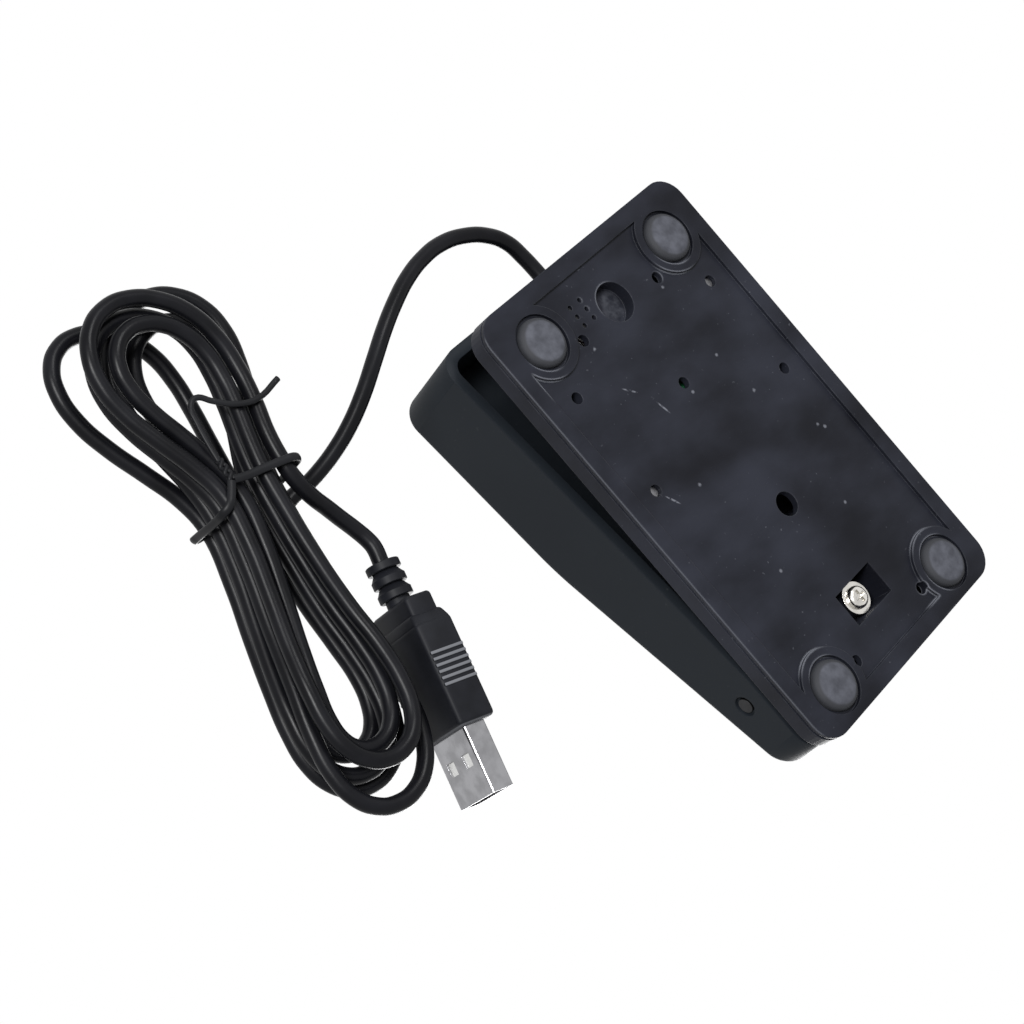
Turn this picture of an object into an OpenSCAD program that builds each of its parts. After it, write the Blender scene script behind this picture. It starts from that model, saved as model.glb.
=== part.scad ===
// USB foot pedal switch. A wedge-shaped pedal is hinged over a shallow base tray, which holds a snap-action
// switch, a return spring and a circuit board. The cord is tied in a hank and ends in a USB plug.
// X runs across the pedal, Y along it with the cord at +Y, and Z up from the floor under the feet.

/* [Body] */
// Width of the base and of the pedal
body_w = 62; // [58:1:70]
// Length of the base and of the pedal
body_l = 100; // [97:1:115]
// Plan radius of the upright corners
corner_r = 5.2; // [5:0.2:9]

/* [Base] */
// Height of the base's side band
band_h = 4.75; // [4.25:0.25:6.5]
// Thickness of the base's side wall
base_wall = 2.4; // [1.8:0.2:3]
// Thickness of the base's floor
floor_t = 1.6; // [1.2:0.1:2]
// Depth of the recess in the underside
recess_d = 0.8; // [0.4:0.1:1.2]
// Width of the raised rim round that recess
rim_w = 3.6; // [2.4:0.2:5]
// Plan radius of that recess's corners
recess_r = 5.6; // [4:0.2:8]
// Depth of the shadow line round the side band
groove_d = 0.4; // [0.2:0.1:0.8]
// Diameter of the small core holes in the underside
core_hole_d = 2.4; // [2.2:0.1:3]
// Diameter of the large hole in the underside
large_hole_d = 5; // [4:0.5:7]
// Distance from the large hole to the hinge pin
large_hole_run = 22.4; // [20:0.2:26]
// Diameter of the six vent holes by the cord
vent_d = 1; // [0.8:0.1:1.6]

/* [Feet] */
// Diameter of a rubber foot
foot_d = 10; // [8:0.5:11]
// Height of the feet below the base
foot_proud = 1; // [0.6:0.1:2]
// Depth of the pocket that a foot is glued in
foot_pocket = 0.9; // [0.5:0.1:1.4]
// Gap round a foot in its pocket
foot_gap = 0.7; // [0.3:0.1:1]
// Width of the flat ring round a foot pocket
foot_ring = 1.8; // [1:0.2:3]
// Distance from a foot's middle to the side of the base
foot_side = 10.5; // [9:0.5:14]
// Distance from the front feet's middle to the cord end
foot_front = 10; // [9:0.5:14]
// Distance from the rear feet's middle to the hinge end
foot_rear = 7.4; // [7:0.2:9]

/* [Hinge] */
// Distance from the hinge pin to the hinge end
hinge_inset = 14.7; // [13:0.1:18]
// Height of the pin above the base's side band
hinge_rise = 6.65; // [6.4:0.05:8]
// Diameter of the hinge pin
pin_d = 3; // [2.4:0.1:3.4]
// Depth of the pin's ends below the pedal's sides
pin_sunk = 0.2; // [0.1:0.1:0.6]
// Depth of the round recess at the pin's ends
pin_recess = 0.8; // [0.6:0.1:1.2]
// Diameter of that recess
pin_recess_d = 4.2; // [3.8:0.1:5]
// Width of each hinge upright on the base
upright_w = 5.5; // [4:0.5:7]
// Width of the window under the locking screw
window_w = 12; // [9:0.5:14]
// Length of that window along the pedal
window_l = 7; // [7:0.2:9]
// Diameter of the locking screw's washer
washer_d = 6.6; // [5.8:0.1:6.8]

/* [Pedal] */
// Angle at which the pedal stands open
raise_angle = 6.4; // [5:0.1:7]
// Height of the pedal's side from its rim to its flat top
pedal_h = 19.9; // [18:0.1:22]
// Height of the pedal's side at the hinge end
heel_h = 11.4; // [10.4:0.1:12]
// Length of the flat top, measured from the cord end
flat_l = 43; // [42:1:55]
// Thickness of the pedal's side walls
pedal_wall = 2.4; // [1.8:0.1:3]
// Thickness of the pedal's top
pedal_top_t = 2.2; // [1.6:0.1:2.4]
// Rounding of the pedal's top edges
edge_r = 1.5; // [1:0.1:2.5]
// Number of grip ribs across the flat top
rib_n = 9; // [5:1:10]
// Height of a grip rib
rib_h = 0.6; // [0.3:0.1:1]

/* [Switch] */
// Distance from the hinge pin to the switch's plunger
lever_arm = 13.5; // [12:0.5:14.5]
// Length of the switch's case
switch_l = 19.8; // [16:0.2:22]
// Thickness of the switch's case
switch_t = 6.4; // [5.4:0.2:6.8]
// Height of the switch's case
switch_h = 10.2; // [9:0.2:10.4]
// Height that the plunger stands out of the case
plunger_out = 1.7; // [1.6:0.1:1.9]

/* [Board] */
// Width of the circuit board
board_w = 50; // [48:1:52]
// Length of the circuit board along the pedal
board_l = 27.4; // [26:0.2:30]
// Thickness of the circuit board
board_t = 1.6; // [1:0.2:2]
// Height of the posts under the circuit board
board_post = 2.4; // [2:0.2:4]
// Distance from the board's posts to its long edges
post_side = 2.7; // [2.7:0.1:3.6]
// Distance from the board's posts to its ends
post_end = 2.6; // [2.6:0.1:3.6]
// Distance from the board's middle to the cord end
board_inset = 32.9; // [32.5:0.1:36]

/* [Spring] */
// Distance from the return spring to the cord end
spring_inset = 12.9; // [12:0.1:14]
// Outer diameter of the return spring
spring_d = 9; // [8.4:0.2:10]
// Diameter of the spring's wire
spring_wire = 0.9; // [0.6:0.1:1.2]
// Number of the spring's curls
spring_turns = 7; // [5:1:9]

/* [Cord] */
// Diameter of the cord
cord_d = 3; // [2.6:0.1:3.1]
// Distance from the cord to the middle of the pedal
cord_x = 8; // [7:0.5:10]
// Least gap between the loops of the hank
loop_gap = 0.55; // [0.5:0.05:0.7]
// Diameter of the tie's wire
tie_d = 0.9; // [0.6:0.1:1]

/* [Plug] */
// Length of the plug's moulded grip
grip_l = 24; // [20:0.5:28]
// Width of the plug's moulded grip
grip_w = 15.5; // [14:0.5:17]
// Thickness of the plug's moulded grip
grip_t = 7.5; // [6.5:0.5:8.5]
// Length of the ribbed strain relief
relief_l = 8; // [6:0.5:11]

/* [Hidden] */
$fn = 48;

// Clearances
run_gap = 0.05;
pin_fit = 0.03;
seat_gap = 0.1;
part_gap = 0.3;
eps = 0.01;

// Levels, from the floor up
rim_z = foot_proud;
recess_z = rim_z + recess_d;
floor_z = recess_z + floor_t;
ledge_z = rim_z + band_h;
pedal_rim_gap = 0.5;
heel_gap = 0.95;
pedal_rim_z = ledge_z + pedal_rim_gap;
pedal_top_z = pedal_rim_z + pedal_h;
hinge_z = ledge_z + hinge_rise;

// Places along the pedal
toe_y = body_l / 2;
hinge_y = -body_l / 2 + hinge_inset;
kink_y = toe_y - flat_l;
board_y = toe_y - board_inset;
spring_y = toe_y - spring_inset;
switch_y = hinge_y + lever_arm;
slope = (pedal_h - heel_h) / (body_l - flat_l);

// Height of the pedal's level top at a place along it, and of the skin under it
function top_at(y) = pedal_top_z - max(0, kink_y - y) * slope;
function skin_at(y) = top_at(y) - pedal_top_t * sqrt(1 + slope * slope);

// A place on the level pedal after the pedal is raised about the hinge pin
function raised(y, z) = [
    hinge_y + (y - hinge_y) * cos(raise_angle) - (z - hinge_z) * sin(raise_angle),
    hinge_z + (y - hinge_y) * sin(raise_angle) + (z - hinge_z) * cos(raise_angle)
];

module on_raised_pedal() {
    translate([0, hinge_y, hinge_z])
        rotate([raise_angle, 0, 0])
            translate([0, -hinge_y, -hinge_z])
                children();
}

// A rounded rectangle as points, with each corner an arc
function corner_arc(x, y, r, start) = [
    for (i = [0:8]) [x + r * cos(start + i * 90 / 8), y + r * sin(start + i * 90 / 8)]
];
function plate(w, l, r) = concat(
    corner_arc(w / 2 - r, l / 2 - r, r, 0),
    corner_arc(-w / 2 + r, l / 2 - r, r, 90),
    corner_arc(-w / 2 + r, -l / 2 + r, r, 180),
    corner_arc(w / 2 - r, -l / 2 + r, r, 270)
);

module slab(w, l, r, low, high) {
    translate([0, 0, low])
        linear_extrude(high - low)
            polygon(plate(w, l, r));
}

module rod_x(d, x_from, x_to) {
    translate([x_from, 0, 0])
        rotate([0, 90, 0])
            cylinder(d = d, h = x_to - x_from);
}

module both_sides() {
    children();
    mirror([1, 0, 0]) children();
}

// A tube along points: each ring is turned as little as possible from the one before
function unit(v) = v / norm(v);
function directions(path) = [
    for (i = [0:len(path) - 1]) unit(path[min(i + 1, len(path) - 1)] - path[max(i - 1, 0)])
];
function carried(dirs, normal, i = 0, done = []) =
    i == len(dirs) ? done
    : let (n = unit(normal - (normal * dirs[i]) * dirs[i])) carried(dirs, n, i + 1, concat(done, [n]));
function side_of(dir) = unit(cross(dir, abs(dir.z) < 0.9 ? [0, 0, 1] : [1, 0, 0]));

module tube(path, d, sides) {
    dirs = directions(path);
    sideways = carried(dirs, side_of(dirs[0]));
    last = (len(path) - 1) * sides;
    points = [
        for (i = [0:len(path) - 1], k = [0:sides - 1])
            let (a = 360 * k / sides)
                path[i] + d / 2 * (cos(a) * sideways[i] + sin(a) * cross(dirs[i], sideways[i]))
    ];
    walls = [
        for (i = [0:len(path) - 2], k = [0:sides - 1], half = [0, 1])
            let (a = i * sides + k, b = i * sides + (k + 1) % sides)
                half == 0 ? [a, a + sides, b] : [b, a + sides, b + sides]
    ];
    ends = [
        for (k = [1:sides - 2], far = [false, true])
            far ? [last, last + k + 1, last + k] : [0, k, k + 1]
    ];
    polyhedron(points, concat(walls, ends));
}

function smooth(x) = let (v = min(1, max(0, x))) v * v * (3 - 2 * v);

// Base tray
foot_x = body_w / 2 - foot_side;
foot_front_y = toe_y - foot_front;
foot_rear_y = -body_l / 2 + foot_rear;
foot_places = [for (x = [-foot_x, foot_x], y = [foot_front_y, foot_rear_y]) [x, y]];
post_x = board_w / 2 - post_side;
post_y = board_l / 2 - post_end;
post_places = [for (x = [-post_x, post_x], y = [-post_y, post_y]) [x, board_y + y]];
core_x = 12.2;
core_front_y = toe_y - 14.6;
core_rear_y = -body_l / 2 + 7.1;
core_places = concat(
    [for (x = [-core_x, core_x], y = [core_front_y, core_rear_y]) [x, y]],
    [[0, board_y]]
);
post_d = 5.4;
vent_dx = 3;
vent_dy = 2.1;
vent_rows = 3;
vent_y = toe_y - 10.5;
groove_low = 0.7;
groove_high = 1.3;

hinge_boss_l = 3;
hinge_boss_d = 7;
hinge_side_gap = 0.6;
upright_x = body_w / 2 - pedal_wall - hinge_boss_l - hinge_side_gap;
skin_gap = 0.4;
// Radius round the pin that stays clear of the pedal's sloping skin
upright_r = (skin_at(hinge_y) - hinge_z) / sqrt(1 + slope * slope) - skin_gap;

saddle_leg = 2.2;
saddle_l = window_l + 1;
saddle_roof = 2.2;
window_top = hinge_z - pin_d / 2 - saddle_roof;
lock_boss_h = 4.1;
lock_boss_d = washer_d - 2 * part_gap;
saddle_z = window_top - lock_boss_h;
screw_d = 2.2;
screw_hole_d = screw_d + 2 * seat_gap;

spring_seat_h = 4;
spring_dish_d = 8.3;
spring_dish_wall = 1;
spring_seat_d = max(spring_d, spring_dish_d + 2 * spring_dish_wall);
spring_dish_roof = 2.6;
spring_pin_d = spring_d - 2 * spring_wire - 2 * part_gap;
spring_pin_h = 3;
spring_low = floor_z + spring_seat_h;

nose_d = 2.4;
switch_low = skin_at(switch_y) + lever_arm * sin(raise_angle) - nose_d - plunger_out - switch_h;
bracket_t = 2.4;
bracket_w = switch_l + 2;
bracket_y = switch_y + switch_t / 2 + seat_gap;
bracket_top = switch_low + switch_h - 1;
switch_hole_dx = 9.5;
switch_hole_z = switch_low + 2.6;

cord_cover = 0.2;
cord_gap = 0.2;
cord_z = ledge_z - cord_cover - cord_d / 2;
grommet_w = cord_d + 3;
grommet_under = 0.6;
grommet_low = cord_z - cord_d / 2 - grommet_under;
flange_t = 1.2;
flange_w = grommet_w + 2;
jacket_end_y = toe_y - 14;
channel_run = 3;
clamp_l = 4.5;
clamp_w = cord_d + 3.6;
clamp_h = 3.4;
clamp_y = toe_y - 8.2;
clamp_rib_t = 1;

module base_tray() {
    inner_w = body_w - 2 * base_wall;
    inner_l = body_l - 2 * base_wall;
    color("#2b2d33")
    difference() {
        union() {
            difference() {
                slab(body_w, body_l, corner_r, rim_z, ledge_z);
                slab(inner_w, inner_l, corner_r - base_wall, floor_z, ledge_z + 1);
            }
            base_inner_forms();
        }
        underside_recess();
        band_groove();
        for (p = foot_places)
            translate([p.x, p.y, rim_z - 1])
                cylinder(d = foot_d + 2 * foot_gap, h = 1 + foot_pocket);
        for (p = concat(core_places, post_places))
            translate([p.x, p.y, 0])
                cylinder(d = core_hole_d, h = floor_z + board_post + 1);
        translate([0, hinge_y + large_hole_run, 0])
            cylinder(d = large_hole_d, h = floor_z + 1);
        for (i = [0:1], j = [0:vent_rows - 1])
            translate([cord_x + (i - 0.5) * vent_dx, vent_y + (j - (vent_rows - 1) / 2) * vent_dy, 0])
                cylinder(d = vent_d, h = floor_z + 1);
        window_cut();
        translate([0, hinge_y, saddle_z - 1])
            cylinder(d = screw_hole_d, h = hinge_z - saddle_z);
        translate([0, hinge_y, hinge_z])
            rod_x(pin_d + 2 * pin_fit, -upright_x - 1, upright_x + 1);
        translate([0, spring_y, 0])
            cylinder(d = spring_dish_d, h = spring_low - spring_dish_roof);
        cord_cuts();
        for (x = [-switch_hole_dx / 2, switch_hole_dx / 2])
            translate([x, bracket_y - 1, switch_hole_z])
                rotate([-90, 0, 0])
                    cylinder(d = screw_hole_d, h = bracket_t + 2);
    }
}

module base_inner_forms() {
    for (p = post_places)
        translate([p.x, p.y, recess_z])
            cylinder(d = post_d, h = floor_z + board_post - recess_z);
    both_sides()
        translate([upright_x - upright_w, hinge_y, 0])
            hinge_stand(upright_w, recess_z);
    // Saddle over the window, with a leg on each side of it
    saddle_w = window_w + 2 * saddle_leg;
    translate([-saddle_w / 2, hinge_y, 0]) {
        hinge_stand(saddle_w, recess_z);
        translate([0, -saddle_l / 2, recess_z])
            cube([saddle_w, saddle_l, hinge_z - pin_d / 2 - recess_z]);
    }
    translate([0, spring_y, recess_z]) {
        cylinder(d = spring_seat_d, h = spring_low - recess_z);
        cylinder(d = spring_pin_d, h = spring_low + spring_pin_h - recess_z);
    }
    translate([-bracket_w / 2, bracket_y, recess_z])
        cube([bracket_w, bracket_t, bracket_top - recess_z]);
    for (side = [-1, 1])
        translate([cord_x + side * (clamp_w / 2 + seat_gap + clamp_rib_t / 2), clamp_y, recess_z])
            translate([-clamp_rib_t / 2, -clamp_l / 2, 0])
                cube([clamp_rib_t, clamp_l, floor_z + clamp_h - recess_z]);
}

// An upright with a round head about the hinge pin
module hinge_stand(w, low) {
    translate([0, 0, hinge_z])
        rod_x(2 * upright_r, 0, w);
    translate([0, -upright_r, low])
        cube([w, 2 * upright_r, hinge_z - low]);
}

// The window under the saddle, with the boss that the locking screw goes through left standing in it
module window_cut() {
    translate([0, hinge_y, 0])
        difference() {
            translate([-window_w / 2, -window_l / 2, 0])
                cube([window_w, window_l, window_top]);
            translate([0, 0, saddle_z])
                cylinder(d = lock_boss_d, h = lock_boss_h + 1);
        }
}

module underside_recess() {
    difference() {
        slab(body_w - 2 * rim_w, body_l - 2 * rim_w, recess_r, rim_z - 1, recess_z);
        for (p = foot_places)
            translate([p.x, p.y, rim_z - 2])
                cylinder(d = foot_d + 2 * foot_gap + 2 * foot_ring, h = recess_d + 3);
    }
}

module band_groove() {
    difference() {
        slab(body_w + 2, body_l + 2, corner_r, rim_z + groove_low, rim_z + groove_high);
        slab(body_w - 2 * groove_d, body_l - 2 * groove_d, corner_r - groove_d, rim_z, ledge_z);
    }
}

// Notch for the grommet in the end wall, and the channel that the cord lies in
module cord_cuts() {
    notch_l = base_wall + flange_t;
    translate([cord_x - grommet_w / 2, toe_y - notch_l - seat_gap, grommet_low])
        cube([grommet_w, notch_l + 1, ledge_z]);
    translate([cord_x - flange_w / 2 - seat_gap, toe_y - notch_l - seat_gap, grommet_low])
        cube([flange_w + 2 * seat_gap, flange_t + seat_gap, ledge_z]);
    channel_w = cord_d + 2 * cord_gap;
    translate([cord_x - channel_w / 2, jacket_end_y - channel_run, cord_z - cord_d / 2 - cord_gap])
        cube([channel_w, toe_y - base_wall - jacket_end_y + channel_run - eps, ledge_z]);
}

// Rubber feet, flat where they meet the floor
foot_edge = 0.8;
foot_flat_d = foot_d - 4;

module rubber_feet() {
    color("#5d5f66")
    for (p = foot_places)
        translate([p.x, p.y, 0])
            rotate_extrude()
                polygon([
                    [0, 0], [foot_flat_d / 2, 0], [foot_d / 2 - foot_edge / 2, foot_proud / 3],
                    [foot_d / 2, foot_proud], [foot_d / 2, foot_proud + foot_pocket],
                    [0, foot_proud + foot_pocket]
                ]);
}

// Hinge pin and the screw that locks it in the saddle
lock_head_d = 4.6;
lock_head_h = 1.2;
lock_head_edge = 0.9;
lock_washer_t = 0.5;
cross_l = 2.6;
cross_w = 0.7;
cross_d = 0.7;

module hinge_pin() {
    pin_x = body_w / 2 - pin_sunk;
    color("#3a3a3c")
    translate([0, hinge_y, hinge_z])
        rod_x(pin_d, -pin_x, pin_x);
}

module lock_screw() {
    head_low = saddle_z - lock_washer_t - lock_head_h;
    color("#d7d8da")
    translate([0, hinge_y, 0])
        difference() {
            union() {
                translate([0, 0, head_low])
                    rotate_extrude()
                        polygon(concat(
                            [[0, 0]],
                            [for (a = [0:15:90]) [
                                lock_head_d / 2 - lock_head_edge + lock_head_edge * sin(a),
                                lock_head_edge - lock_head_edge * cos(a)
                            ]],
                            [[lock_head_d / 2, lock_head_h], [0, lock_head_h]]
                        ));
                translate([0, 0, saddle_z - lock_washer_t - eps])
                    cylinder(d = screw_d, h = hinge_z - pin_d / 2 - seat_gap - saddle_z + lock_washer_t);
            }
            for (turn = [0, 90])
                rotate([0, 0, turn])
                    translate([-cross_l / 2, -cross_w / 2, head_low - 1])
                        cube([cross_l, cross_w, cross_d + 1]);
        }
}

module lock_washer() {
    color("#c3c5c8")
    translate([0, hinge_y, saddle_z - lock_washer_t])
        difference() {
            cylinder(d = washer_d, h = lock_washer_t);
            translate([0, 0, -1]) cylinder(d = screw_hole_d, h = lock_washer_t + 2);
        }
}

// Circuit board and what is soldered on it
board_z = floor_z + board_post;
board_top = board_z + board_t;
chip = [10.4, 7.6, 2.4];
chip_at = [-9, -2];
crystal_size = [11, 4.6, 3.6];
crystal_at = [-9, 8.4];
capacitor_d = 5;
capacitor_h = 5.5;
capacitor_side = 9.6;
capacitor_pitch = 6.4;
capacitor_y = -8.4;
capacitor_places = [for (i = [0, 1]) [board_w / 2 - capacitor_side - i * capacitor_pitch, capacitor_y]];
resistor = [2, 1.25, 0.6];
resistor_n = 4;
resistor_pitch = 2.6;
resistor_at = [8, 0];
header = [10.4, 5, 5.6];
header_y = 8.8;
wire_d = 1;
wire_n = 4;
wire_pitch = 2;

module circuit_board() {
    color("#1f5a3a")
    translate([0, board_y, board_z])
        difference() {
            slab(board_w, board_l, 1, 0, board_t);
            for (p = post_places)
                translate([p.x, p.y - board_y, -1])
                    cylinder(d = core_hole_d, h = board_t + 2);
        }
}

module controller_chip() {
    lead_n = 7;
    lead_pitch = 1.27;
    lead_l = 1.2;
    color("#1c1c1f")
    translate([chip_at.x, board_y + chip_at.y, board_top]) {
        translate([-chip.x / 2, -chip.y / 2, 0]) cube(chip);
        for (i = [0:lead_n - 1], side = [-1, 1])
            translate([(i - (lead_n - 1) / 2) * lead_pitch - 0.2, side * (chip.y / 2 + lead_l / 2) - lead_l / 2, 0])
                cube([0.4, lead_l, 1]);
    }
}

module crystal() {
    color("#c9cacc")
    translate([crystal_at.x, board_y + crystal_at.y, 0])
        slab(crystal_size.x, crystal_size.y, crystal_size.y / 2 - 0.1, board_top, board_top + crystal_size.z);
}

module capacitors() {
    color("#26324a")
    for (p = capacitor_places)
        translate([p.x, board_y + p.y, board_top])
            cylinder(d = capacitor_d, h = capacitor_h);
}

module resistors() {
    color("#111111")
    for (i = [0:resistor_n - 1])
        translate([resistor_at.x + i * resistor_pitch, board_y + resistor_at.y, board_top])
            translate([-resistor.x / 2, -resistor.y / 2, 0])
                cube(resistor);
}

module cord_header() {
    color("#e6e3da")
    translate([cord_x - header.x / 2, board_y + header_y - header.y / 2, board_top])
        cube(header);
}

function wire_place(i) = (i - (wire_n - 1) / 2) * wire_pitch;

// Four conductors from the end of the cord's jacket up to the header
module cord_wires() {
    header_face = board_y + header_y + header.y / 2;
    wire_z = board_top + header.z / 2;
    color("#9a3b34")
    for (i = [0:wire_n - 1])
        let (x = cord_x + wire_place(i), x_end = cord_x + (i - (wire_n - 1) / 2) * (wire_d + 0.1) * 0.6)
            tube([
                [x_end, jacket_end_y - seat_gap, cord_z + (i % 2 - 0.5) * (wire_d + 0.5)],
                [x_end, jacket_end_y - 1.2, cord_z + 0.4 + (i % 2 - 0.5) * (wire_d + 0.5)],
                [x, (jacket_end_y + header_face) / 2, (cord_z + wire_z) / 2],
                [x, header_face + 1, wire_z],
                [x, header_face + seat_gap, wire_z]
            ], wire_d, 6);
}

module board_screws() {
    head_d = 4.4;
    head_h = 1.6;
    tip_depth = 1;
    shank_l = board_t + board_post + floor_t - tip_depth;
    color("#c8c9cb")
    for (p = [post_places[1], post_places[2]])
        translate([p.x, p.y, board_top]) {
            cylinder(d = head_d, h = head_h);
            translate([0, 0, -shank_l]) cylinder(d = screw_d, h = shank_l + eps);
        }
}

// Snap-action switch
terminal = [2.8, 0.5];
terminal_l = switch_low - floor_z - part_gap;
terminal_x = [-7, 0, 7];
plunger_w = 2.4;
plunger_t = 3;
plunger_travel = 1.5;
plunger_low = switch_low + switch_h - 2.4;

module switch_case() {
    color("#1b1b1e")
    difference() {
        translate([-switch_l / 2, switch_y - switch_t / 2, switch_low])
            cube([switch_l, switch_t, switch_h]);
        for (x = [-switch_hole_dx / 2, switch_hole_dx / 2])
            translate([x, switch_y - switch_t, switch_hole_z])
                rotate([-90, 0, 0])
                    cylinder(d = screw_hole_d, h = 2 * switch_t);
        translate([-plunger_w / 2 - run_gap, switch_y - plunger_t / 2 - run_gap, plunger_low - plunger_travel - part_gap])
            cube([plunger_w + 2 * run_gap, plunger_t + 2 * run_gap, switch_h]);
    }
}

module switch_plunger() {
    plunger_top = switch_low + switch_h + plunger_out;
    color("#a8322c")
    translate([-plunger_w / 2, switch_y - plunger_t / 2, plunger_low])
        cube([plunger_w, plunger_t, plunger_top - plunger_low]);
}

module switch_terminals() {
    color("#d3c9a8")
    for (x = terminal_x)
        translate([x - terminal.x / 2, switch_y - terminal.y / 2, switch_low - terminal_l])
            cube([terminal.x, terminal.y, terminal_l]);
}

module switch_screws() {
    head_d = 3.8;
    head_h = 1.4;
    shank_l = switch_t + seat_gap + bracket_t;
    color("#c8c9cb")
    for (x = [-switch_hole_dx / 2, switch_hole_dx / 2])
        translate([x, switch_y - switch_t / 2, switch_hole_z])
            rotate([-90, 0, 0]) {
                translate([0, 0, -head_h]) cylinder(d = head_d, h = head_h);
                translate([0, 0, -eps]) cylinder(d = screw_d, h = shank_l);
            }
}

// Two wires from the switch to the edge of the board
module switch_wires() {
    wire_z = floor_z + wire_d / 2 + part_gap;
    pad_y = board_y - board_l / 2 + 1.6;
    run_x = 15;
    color("#3a3a3f")
    for (side = [-1, 1])
        tube([
            [side * (terminal_x[2] + terminal.x / 2 + seat_gap), switch_y, wire_z],
            [side * (terminal_x[2] + terminal.x / 2 + 1.6), switch_y, wire_z],
            [side * run_x, switch_y + 3, wire_z],
            [side * run_x, switch_y + 12, wire_z],
            [side * run_x, pad_y - 6, wire_z + 0.6],
            [side * run_x, pad_y - 3, board_top - 0.4],
            [side * run_x, pad_y - 0.8, board_top + 2],
            [side * run_x, pad_y, board_top + 1.2],
            [side * run_x, pad_y, board_top + seat_gap]
        ], wire_d, 6);
}

// Return spring between the base's seat and the pedal's seat
pedal_seat_drop = 3.4;
spring_high = raised(spring_y, skin_at(spring_y))[1] - pedal_seat_drop;
spring_r = (spring_d - spring_wire) / 2;

module return_spring() {
    rings = 8 * spring_turns;
    low = spring_low + spring_wire / 2;
    rise = spring_high - spring_low - spring_wire;
    color("#b4b7bb")
    tube([
        for (i = [0:rings])
            [spring_r * cos(i * 45), spring_y + spring_r * sin(i * 45), low + rise * i / rings]
    ], spring_wire, 6);
}

// Cord grommet and clamp
module cord_grommet() {
    fit_w = grommet_w - 2 * seat_gap;
    color("#1d1e21")
    difference() {
        union() {
            translate([cord_x - fit_w / 2, toe_y - base_wall - flange_t, grommet_low + seat_gap])
                cube([fit_w, base_wall + flange_t, ledge_z - grommet_low - seat_gap]);
            translate([cord_x - flange_w / 2, toe_y - base_wall - flange_t, grommet_low + seat_gap])
                cube([flange_w, flange_t - seat_gap, ledge_z - grommet_low - seat_gap]);
        }
        translate([cord_x, toe_y + 1, cord_z])
            rotate([90, 0, 0])
                cylinder(d = cord_d + 2 * seat_gap, h = base_wall + flange_t + 2);
    }
}

module cord_clamp() {
    color("#3a3c42")
    difference() {
        translate([cord_x - clamp_w / 2, clamp_y - clamp_l / 2, floor_z])
            cube([clamp_w, clamp_l, clamp_h]);
        translate([cord_x, clamp_y + clamp_l, cord_z])
            rotate([90, 0, 0])
                cylinder(d = cord_d + 2 * seat_gap, h = 2 * clamp_l);
        translate([cord_x - cord_d / 2 - seat_gap, clamp_y - clamp_l, 0])
            cube([cord_d + 2 * seat_gap, 2 * clamp_l, cord_z]);
    }
}

// Cord. Its points are measured from the place where it leaves the end wall, with heights from the floor.
lie_z = cord_d / 2 + 0.02;
function from_exit(p) = [cord_x + p.x, toe_y + p.y, p.z];

// Hank: loops pinched at a tie. s runs along the hank to its upper end, w across it.
hank_at = [79.6, 1.4];
hank_turn = 13;
loops = 6;
loop_rings = 32;
loop_step = cord_d + loop_gap;
layer_step = cord_d + loop_gap - 0.05;
outer_q = loops / 4;
waist_in = 0.5 * loop_step;
// How far each turn's fold reaches from the waist, first turn first
upper_reach = [39, 35, 40, 37, 34, 39];
lower_reach = [51, 45, 49, 56, 46, 49];
// Sideways lean of each turn's upper and lower fold
upper_lean = [-0.31, 0.11, 0.11, -0.17, -0.17, -0.17];
lower_lean = [-0.06, -0.06, -0.1, -0.07, -0.07, -0.06];
lean_in = 8;
// Half widths of the loops, [inner loop, outer loop]
upper_right = [8.9, 14.6];
upper_left = [9.4, 17];
lower_right = [6.8, 12.6];
lower_left = [7.5, 13.3];
// A fold near to a half circle
fold_width = 4;
// Turns at which the cord starts to go down to the next layer
layer_starts = [1.18, 2.75, 4.18];
layer_run = 0.5;
layer_n = len(layer_starts);
tie_gap = 0.4;
lift = tie_d + tie_gap + 0.05;
lift_flat = 20;
lift_end = 36;
start_t = 0.03;
end_t = loops - 0.05;

// The spiral's step number, which falls to the inner loop and rises again, and the layer it lies in. The cord
// comes in at the topmost layer and leaves from the lowest.
function step_at(t) = let (phase = t / outer_q % 2) outer_q * abs(1 - phase);
function layer_at(t) = [for (start = layer_starts) smooth((t - start) / layer_run)] * [for (start = layer_starts) 1];
function lobe(pair, q) = pair[0] + (pair[1] - pair[0]) * q / outer_q;
function hank_local(t) = let (
    q = step_at(t),
    turn = floor(t),
    c = cos(360 * t),
    u = sin(360 * t),
    v = abs(u),
    right = lobe(u > 0 ? lower_right : upper_right, q),
    left = lobe(u > 0 ? lower_left : upper_left, q),
    waist = waist_in + q * loop_step,
    bulge = (right + left) / 2 + c * (right - left) / 2,
    half = waist + (bulge - waist) * smooth(v),
    reach = (u > 0 ? lower_reach : upper_reach)[turn],
    fold_round = (1 - fold_width * (right + left) / 2 / reach) / 2,
    s = -reach * u * (1 + fold_round * (1 - u * u)),
    run = abs(s),
    leaning = run * run / (run + lean_in) * (u > 0 ? lower_lean : upper_lean)[turn],
    lifted = lift * (1 - smooth((run - lift_flat) / (lift_end - lift_flat))),
    z = lie_z + lifted + (layer_n - layer_at(t)) * layer_step
) [half * c * sqrt(1 + pow(v, 2) + pow(v, 4)) + leaning, s, z];
function hank_world(p) = from_exit([
    hank_at.x - p.x * cos(hank_turn) - p.y * sin(hank_turn),
    hank_at.y - p.x * sin(hank_turn) + p.y * cos(hank_turn),
    p.z
]);
function hank_point(t) = hank_world(hank_local(t));
ring_n = round((end_t - start_t) * loop_rings);
hank_path = [for (i = [0:ring_n]) hank_point(start_t + (end_t - start_t) * i / ring_n)];

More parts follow.
